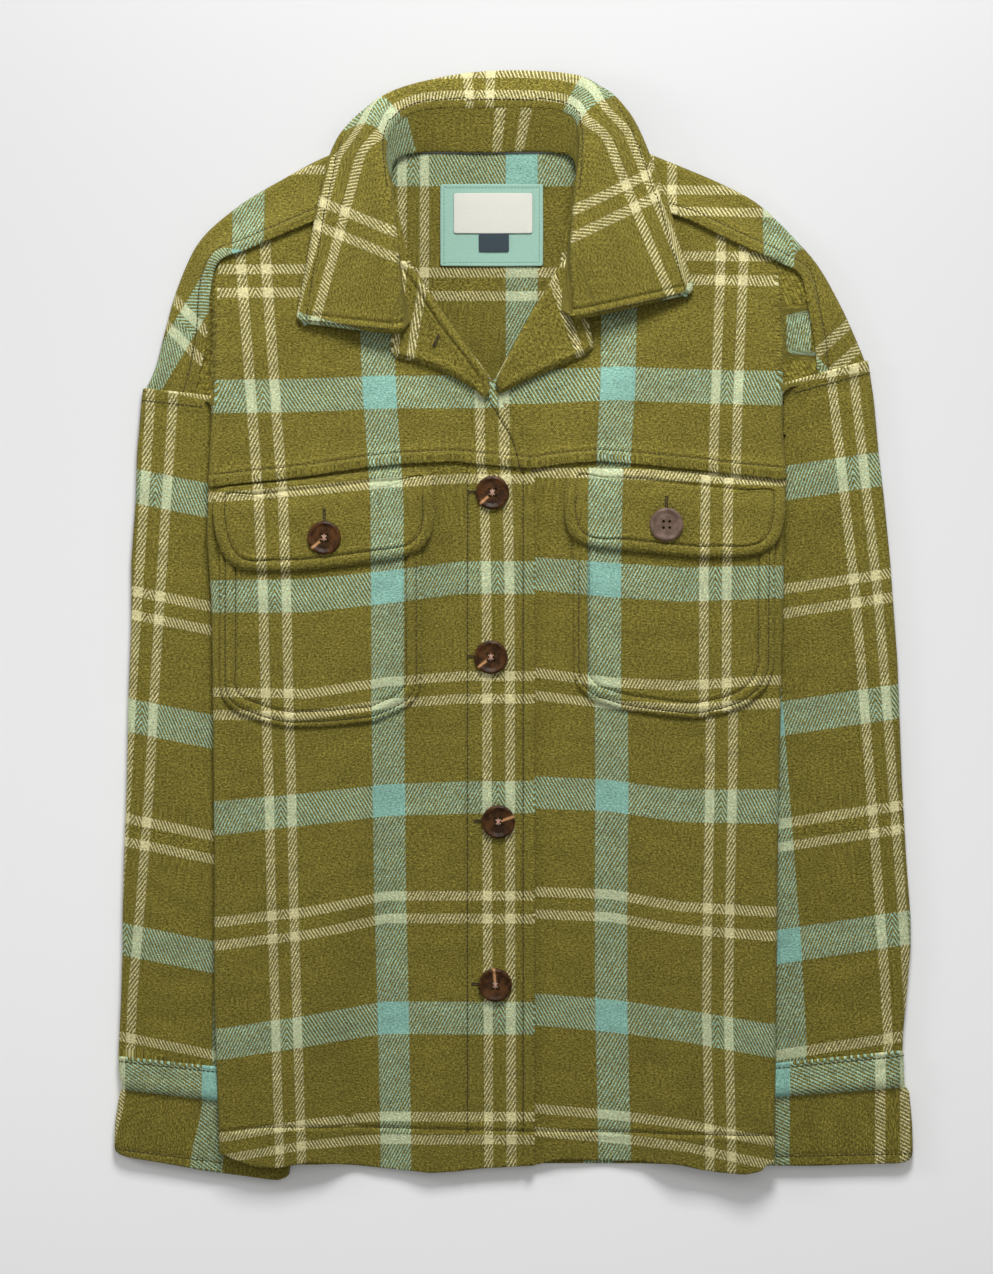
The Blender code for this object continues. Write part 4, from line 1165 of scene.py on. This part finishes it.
for side in ("left", "right"):
    piece, _, _ = laid_piece("lapel_" + side + "_cloth", LAPELS[side], lapel_top(side),
                             lapel_plaid(side), 3.4, edge_reach=9.0, soften=2, step=1.6)
    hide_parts("lapel_" + side)


# Collar. The stand rises from the neck seam and the leaf rolls over it: two plies each, edge
# stitched. Behind the neck the stand leans back, face up, and the leaf rolls under; at the
# sides the leaf falls outwards onto the fronts in two points.
# Columns: neck seam x, y, z, stand's top x, y, z, roll x, y, z, leaf edge x, y, z, U
COLLAR = np.array([
    (-71, 206, 15, -76, 199, 21, -80, 198, 23, -147, 205, 17, -232),
    (-77, 240, 15, -78, 239, 25, -82, 240, 28, -140, 243, 17, -190),
    (-82, 285, 14, -82, 285, 27, -87, 287, 30, -130, 294, 15, -142),
    (-82, 315, 10, -87, 326, 25, -93, 335, 28, -117, 332, 10, -86),
    (-62, 323, 4, -68, 349, 18, -76, 359, 18, -78, 357, 3, -53),
    (-21, 323, 4, -20, 353, 15, -20, 373, 11, -20, 340, 3, 3),
    (26, 323, 4, 34, 350, 18, 42, 366, 18, 44, 364, 3, 62),
    (43, 315, 10, 46, 330, 25, 53, 339, 28, 77, 350, 10, 94),
    (41, 280, 14, 42, 282, 27, 47, 284, 30, 101, 296, 15, 146),
    (37, 244, 15, 40, 243, 25, 45, 244, 28, 115, 252, 17, 190),
    (34, 214, 15, 43, 208, 21, 47, 208, 23, 123, 225, 17, 226)], float)

at = np.concatenate([np.linspace(0.0, 0.3, 17), np.linspace(0.3, 9.7, 268)[1:-1],
                     np.linspace(9.7, 10.0, 17)])
stations = spline(COLLAR, at)
neck, top, roll, edge = (stations[:, k:k + 3] for k in (0, 3, 6, 9))
shares = np.linspace(0.0, 1.0, 16)[:, None, None]
stand_out = neck + shares * (top - neck)
lean = unit(np.cross(np.gradient(top, axis=0), top - neck))
stand_out = stand_out + lean * 1.3
stand_u = neck[:, 0] + 3.4
stand_u = stand_u + ease(308.0, 298.0, neck[:, 1]) * (neck[:, 0] < 0.0) * (-42.0 - stand_u)
stand_flat = np.stack(np.broadcast_arrays(stand_u[None], 27.0 + 28.0 * shares[..., 0]), -1)
stand = shell("collar_stand_cloth", stand_out, stand_flat, wall=2.6)
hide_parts("collar_stand")

TIP_RADIUS = 6.0
COLLAR_STITCHES_INSIDE = 6.2
start = top - unit(top - neck) * 1.0
fall = roll + 0.3 * (edge - roll) + 0.36 * (roll - top)
across = np.concatenate([np.linspace(0.0, 2.6, 40), np.linspace(2.64, 3.0, 14)])
before = roll - 2.0 * unit(top - neck) * np.linalg.norm(roll - start, axis=1)[:, None]
leaf_mid = through(np.stack([before, start, roll, fall, edge, 2 * edge - fall]), across)
down = np.gradient(leaf_mid, axis=0)
across_leaf = np.gradient(leaf_mid, axis=1)
outward = unit(np.cross(across_leaf, down))
step = np.linalg.norm(np.diff(leaf_mid, axis=0), axis=2)
reach = np.concatenate([np.zeros((1, at.size)), np.cumsum(step, 0)])
gap = np.linalg.norm(np.diff(leaf_mid, axis=1), axis=2)
gap = np.concatenate([np.zeros((len(reach), 1)), np.cumsum(gap, 1)], 1)
ends_away = np.minimum(gap, gap[:, -1:] - gap)
into_tip = np.clip(TIP_RADIUS - ends_away[-1], 0.0, TIP_RADIUS)
cut = TIP_RADIUS - np.sqrt(TIP_RADIUS ** 2 - into_tip ** 2)
share = (reach / reach[-1]) ** 2 * (cut / np.linalg.norm(edge - fall, axis=1))
leaf_mid = leaf_mid - share[..., None] * (edge - fall)
to_edge = reach[-1] - reach
to_rim = np.minimum(to_edge, ends_away)
swell = (0.8 * (1.0 - ease(5.0, 8.0, to_rim)) + groove(to_rim - COLLAR_STITCHES_INSIDE, 1.3)
         - 1.3 * (1.0 - ease(0.0, 2.4, to_rim)))
leaf_out = leaf_mid + outward * (1.6 + swell)[..., None]
# Behind the neck the stripes follow the leaf round; on each point they follow straight lines:
# the cream pair along the collar leans with the point, and the pair across it slants down.
x, y = leaf_mid[..., 0], leaf_mid[..., 1]
behind = np.stack([np.repeat(stations[None, :, 12], len(x), 0), reach - 15.0], -1)
far = (x + 137.4) * 0.40 + (y - 281.5) * 0.917
near_tip = 1.0 - 0.35 * ease(0.0, -60.0, far)
left_point = np.stack([-148.0 + 0.96 * ((x + 137.4) * 0.40 * near_tip + (y - 281.5) * 0.917),
                       -0.963 * (x + 104.0) + 0.271 * (y - 340.0)], -1)
far = (x - 42.8) * 0.457 - (y - 270.0) * 0.889
near_tip = 1.0 - 0.25 * ease(0.0, 60.0, far)
right_point = np.stack([149.4 + 0.96 * ((x - 42.8) * 0.457 * near_tip - (y - 270.0) * 0.889),
                        0.9245 * (x - 76.5) + 0.381 * (y - 316.2)], -1)
left_point[..., 1] += 34.0 * (left_point[..., 1] < -57.0)
right_point[..., 1] += 34.0 * (right_point[..., 1] < -57.0)
right_point[..., 0] += 4.0 * (1.0 - ease(2.5, 6.0, to_edge))
on_left = ease(-78.0, -112.0, stations[:, 12])[None, :, None]
on_right = ease(78.0, 112.0, stations[:, 12])[None, :, None]
leaf_flat = behind + on_left * (left_point - behind) + on_right * (right_point - behind)
leaf = shell("collar_leaf_cloth", leaf_out, leaf_flat, wall=3.2)
count = np.arange(at.size)
rim_row = leaf_out[np.argmin(np.abs(to_edge - COLLAR_STITCHES_INSIDE), 0), count][4:-4]
seam_row = leaf_out[np.argmin(np.abs(reach - 5.0), 0), count][70:-70]
side_rows = [leaf_out[(reach[:, c] > 12) & (to_edge[:, c] > COLLAR_STITCHES_INSIDE), c]
             for c in (3, -4)]
topstitch("collar_stitches", [rim_row, seam_row, *side_rows])
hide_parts("collar_leaf")


# Neck patch and its blank labels. The patch is aqua cotton twill sewn inside the back yoke;
# the cream woven label and the small dark size tag on it carry no writing here.
def small_weave(name, colour, light, scale, relief):
    """Fine plain weave: two crossed sine waves shade and raise the threads."""
    cloth = Nodes(name)
    vector, across, along = cloth.flat()
    wave_u = cloth.math("SINE", cloth.math("MULTIPLY", across, 2 * math.pi / scale))
    wave_v = cloth.math("SINE", cloth.math("MULTIPLY", along, 2 * math.pi / scale))
    weave = cloth.math("MULTIPLY", wave_u, wave_v)
    share = cloth.step(cloth.math("ADD", weave, cloth.noise(vector, 700.0)), 0.0, 1.2)
    cloth.link(cloth.mix(share, colour, light), cloth.shader.inputs["Base Color"])
    cloth.shader.inputs["Roughness"].default_value = 0.85
    cloth.shader.inputs["Sheen Weight"].default_value = 0.15
    cloth.bump(weave, relief, 0.6)
    return cloth.material


PATCH = small_weave("patch_twill", (0.20, 0.355, 0.285), (0.30, 0.475, 0.385), 0.0011, 0.0001)
LABEL = small_weave("label_weave", (0.49, 0.485, 0.42), (0.61, 0.605, 0.55), 0.0007, 0.00005)
TAG = small_weave("tag_weave", (0.012, 0.022, 0.032), (0.028, 0.046, 0.060), 0.0007, 0.00005)
NECK_PATCH = [(-49, 245), (20, 245), (20, 300), (-49, 300)]
WOVEN_LABEL = [(-40, 267), (13, 267), (13, 294), (-40, 294)]
SIZE_TAG = [(-23, 254.5), (-3, 254.5), (-3, 266.5), (-23, 266.5)]
PATCH_STITCHES_INSIDE = 2.2


def plain(x, y):
    """Flat coordinates of a piece without stripes."""
    return np.stack([x, y], -1)


def patch_top(x, y, d):
    """Patch: its turned edge is a little raised and has one row of stitching."""
    return 3.7 + 0.25 * (1.0 - ease(2.5, 4.0, d)) + groove(d - PATCH_STITCHES_INSIDE, 0.3, 0.6)


patch, rings, inset = laid_piece("neck_patch_cloth", NECK_PATCH, patch_top, plain, 1.2,
                                 edge_reach=6.0, soften=1, step=1.2, material=PATCH,
                                 slot="patch_twill")
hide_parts("neck_patch")
PATCH_THREAD = spun_thread("aqua_thread", (0.10, 0.22, 0.17), (0.20, 0.36, 0.29), 0.7)
ring = rings[np.argmin(np.abs(inset - PATCH_STITCHES_INSIDE))]
topstitch("patch_stitches", [np.vstack([ring, ring[:1]])], "patch_twill", PATCH_THREAD,
          pitch=2.5, length=1.9, radius=0.3)
label, _, _ = laid_piece("woven_label_cloth", WOVEN_LABEL,
                         lambda x, y, d: 4.8 + 0.15 * ease(0.0, 8.0, d), plain, 0.6,
                         edge_reach=3.0, soften=1, step=1.2, material=LABEL,
                         slot="label_weave")
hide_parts("woven_label")
tag, _, _ = laid_piece("size_tag_cloth", SIZE_TAG,
                       lambda x, y, d: 4.8 + 0.1 * ease(0.0, 4.0, d), plain, 0.6,
                       edge_reach=2.0, soften=1, step=1.0, material=TAG, slot="tag_weave")
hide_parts("size_tag")


# Buttons. Horn-look resin, turned with a rolled rim and a dished middle, sewn through four
# holes with buff thread.
def horn(name, centre, streak_turn, dark, light, gloss):
    """Mottled horn: two scales of noise blend dark and light brown, and one pale streak runs
    from the middle of the button to its rim."""
    resin = Nodes(name)
    place = resin.tree.nodes.new("ShaderNodeTexCoord").outputs["Object"]
    parts = resin.tree.nodes.new("ShaderNodeSeparateXYZ")
    resin.link(place, parts.inputs[0])
    broad = resin.noise(place, 160.0, 3.0, 0.6)
    fine = resin.noise(resin.stretch(place, (1.0, 3.0, 1.0)), 600.0, 2.0)
    share = resin.step(resin.math("ADD", resin.math("MULTIPLY", broad, 0.7),
                                  resin.math("MULTIPLY", fine, 0.3)), 0.38, 0.68)
    colour = resin.mix(share, dark, light)
    if streak_turn is not None:
        turn = math.radians(streak_turn)
        cosine, sine = math.cos(turn), math.sin(turn)
        dx = resin.math("SUBTRACT", parts.outputs["X"], centre[0] * 0.001)
        dy = resin.math("SUBTRACT", parts.outputs["Y"], centre[1] * 0.001)
        ahead = resin.math("ADD", resin.math("MULTIPLY", dx, cosine),
                           resin.math("MULTIPLY", dy, sine))
        aside = resin.math("SUBTRACT", resin.math("MULTIPLY", dy, cosine),
                           resin.math("MULTIPLY", dx, sine))
        waver = resin.math("MULTIPLY", resin.math("SUBTRACT", fine, 0.5), 0.0012)
        aside = resin.math("ADD", aside, waver)
        streak = resin.math("MULTIPLY", resin.step(ahead, 0.0012, 0.0026),
                            resin.step(resin.math("ABSOLUTE", aside), 0.0013, 0.0004))
        colour = resin.mix(resin.math("MULTIPLY", streak, 0.8), colour, (0.52, 0.27, 0.12))
    resin.link(colour, resin.shader.inputs["Base Color"])
    resin.shader.inputs["Roughness"].default_value = gloss
    resin.shader.inputs["Specular IOR Level"].default_value = 0.15
    return resin.material


# Columns: node, x, y, height of the sewn middle, turn of the pale streak
BUTTONS = [("button_front_1", -14, 90, 10.7, 222), ("button_front_2", -15, -22, 10.7, 218),
           ("button_front_3", -10, -134, 10.7, 20), ("button_front_4", -12, -245, 10.7, 95),
           ("button_flap_left", -128, 59, 21.9, 220), ("button_flap_right", 104, 68, 21.9, None)]
# Dark and light brown, and the gloss. The button on the right flap is paler and duller, and
# shows neither streak nor thread.
DARK_HORN = ((0.021, 0.0085, 0.0016), (0.088, 0.034, 0.008), 0.42)
PALE_HORN = ((0.10, 0.062, 0.045), (0.20, 0.135, 0.10), 0.55)
SEWING = spun_thread("buff_thread", (0.30, 0.16, 0.11), (0.50, 0.31, 0.23), 0.6)
centres, directions = [], []
for node, x, y, z, turn in BUTTONS:
    finish = horn("horn_" + node, (x, y), turn, *(PALE_HORN if turn is None else DARK_HORN))
    if turn is not None:
        for angle in np.radians((45.0, 135.0, 90.0)):
            centres.append((x, y, z + 0.25))
            directions.append((math.cos(angle), math.sin(angle), 0.0))
    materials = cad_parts[node].data.materials
    materials.clear()
    materials.append(finish)
beads("button_threads", np.array(centres, float), np.array(directions, float), 5.6, 0.62,
      SEWING, "button_resin")


# Buttonholes. They are cut through the placket, the flaps and the left lapel, and worked round
# in brown thread; two crossed stitches of it show on the right lapel.
def buttonhole(start, end):
    """Satin stitches on both sides of a slit, with a bar at its end; x, y, z in millimetres."""
    start, end = np.array(start, float), np.array(end, float)
    line = unit(end - start)
    aside = np.array([-line[1], line[0], 0.0])
    spots = np.arange(0.0, np.linalg.norm(end - start), 0.62)[:, None]
    rows = [start + spots * line + turn * aside * 0.62 for turn in (1, -1)]
    bars = [end + line * 0.3 + aside * offset for offset in (-0.9, -0.3, 0.3, 0.9)]
    centres = np.vstack(rows + [bars])
    directions = np.vstack([np.repeat(aside[None], 2 * len(spots), 0), np.repeat(line[None], 4, 0)])
    return centres, directions


def just_above(height, x, y, *more):
    """Height a little above a surface at one point."""
    return float(height(np.array([float(x)]), np.array([float(y)]), *more)[0]) + 0.1


def left_front_top(x, y):
    """The visible side of the lower left front."""
    return front_top("left", x, y, False)


HOLE_THREAD = spun_thread("brown_thread", (0.020, 0.012, 0.003), (0.055, 0.036, 0.009), 0.8)
holes = []
for _, x, y, _, _ in BUTTONS[:4]:
    level = just_above(left_front_top, -28.0, y)
    holes.append(buttonhole((x - 8.0, y + 0.5, level), (x - 15.6, y + 0.5, level)))
for side, (_, x, y, _, _) in zip(("left", "right"), BUTTONS[4:]):
    level = just_above(flap_top(side), x, y + 15.0, 20.0)
    holes.append(buttonhole((x, y + 8.0, level), (x, y + 19.0, level)))
level = just_above(lapel_top("left"), -50.0, 195.0, 9.0)
holes.append(buttonhole((-54.0, 189.0, level), (-49.5, 198.0, level)))
level = just_above(lapel_top("right"), 19.0, 193.0, 9.0)
holes.append((np.array([(18.6, 193.6, level), (20.2, 192.6, level)]),
              np.array([(1.0, 0.7, 0.0), (1.0, -0.5, 0.0)])))
centres, directions = (np.vstack([hole[k] for hole in holes]) for k in (0, 1))
beads("buttonhole_stitches", centres, directions, 1.1, 0.34, HOLE_THREAD, "plaid_flannel")


# The floor, the lights and the camera: a pale studio surface, painted darker towards the key
# as shade; a key light beyond the collar, a weaker low one at the left and a broad one above;
# and a long lens straight above.
floor_material = Nodes("studio_floor")
place = floor_material.tree.nodes.new("ShaderNodeTexCoord").outputs["Object"]
parts = floor_material.tree.nodes.new("ShaderNodeSeparateXYZ")
floor_material.link(place, parts.inputs[0])
# Painted shade: the floor's colour darkens towards the collar end, where the key light stands, to
# even out its pool of light.
painted_shade_share = floor_material.step(parts.outputs["Y"], -0.46, 0.46)
floor_material.link(floor_material.mix(painted_shade_share, (0.90, 0.90, 0.90), (0.55, 0.55, 0.55)),
                    floor_material.shader.inputs["Base Color"])
floor_material.shader.inputs["Roughness"].default_value = 0.9
floor_material.shader.inputs["Specular IOR Level"].default_value = 0.1
floor_mesh = bpy.data.meshes.new("floor")
floor_mesh.from_pydata([(-4, -4, 0), (4, -4, 0), (4, 4, 0), (-4, 4, 0)], [], [(0, 1, 2, 3)])
floor_mesh.materials.append(floor_material.material)
floor = bpy.data.objects.new("floor", floor_mesh)
bpy.context.scene.collection.objects.link(floor)


def soft_light(name, place, aim, size, power):
    """Square area light at a place, turned towards a spot."""
    data = bpy.data.lights.new(name, "AREA")
    data.size = size
    data.energy = power
    light = bpy.data.objects.new(name, data)
    bpy.context.scene.collection.objects.link(light)
    light.location = place
    direction = np.array(aim, float) - np.array(place, float)
    light.rotation_euler = (math.atan2(math.hypot(direction[0], direction[1]), -direction[2]), 0.0,
                            math.atan2(-direction[0], direction[1]))


soft_light("key", (0.10, 1.15, 0.95), (0.0, 0.05, 0.0), 0.50, 23.5)
soft_light("side", (-1.45, 0.35, 0.60), (0.0, 0.0, 0.0), 0.40, 5.5)
soft_light("fill", (0.6, 0.4, 2.6), (0.0, 0.0, 0.0), 2.4, 9.0)
world = bpy.context.scene.world or bpy.data.worlds.new("studio")
bpy.context.scene.world = world
world.use_nodes = True
world.node_tree.nodes["Background"].inputs["Color"].default_value = (1.0, 1.0, 1.0, 1.0)
world.node_tree.nodes["Background"].inputs["Strength"].default_value = 0.31
bpy.context.scene.view_settings.view_transform = "Standard"

LENS = 120.0
SENSOR = 36.0
SEEN_HEIGHT = 0.8663
SHARP_LEVEL = 0.010
camera_data = bpy.data.cameras.new("camera")
camera = bpy.data.objects.new("camera", camera_data)
bpy.context.scene.collection.objects.link(camera)
camera_data.lens = LENS
camera_data.sensor_width = SENSOR
camera_data.sensor_fit = "VERTICAL"
camera_data.sensor_height = SENSOR
camera_data.clip_end = 20.0
camera.location = (-0.0112, -0.0082, SHARP_LEVEL + SEEN_HEIGHT * LENS / SENSOR)
camera.rotation_euler = (0.0, 0.0, 0.0)
bpy.context.scene.camera = camera
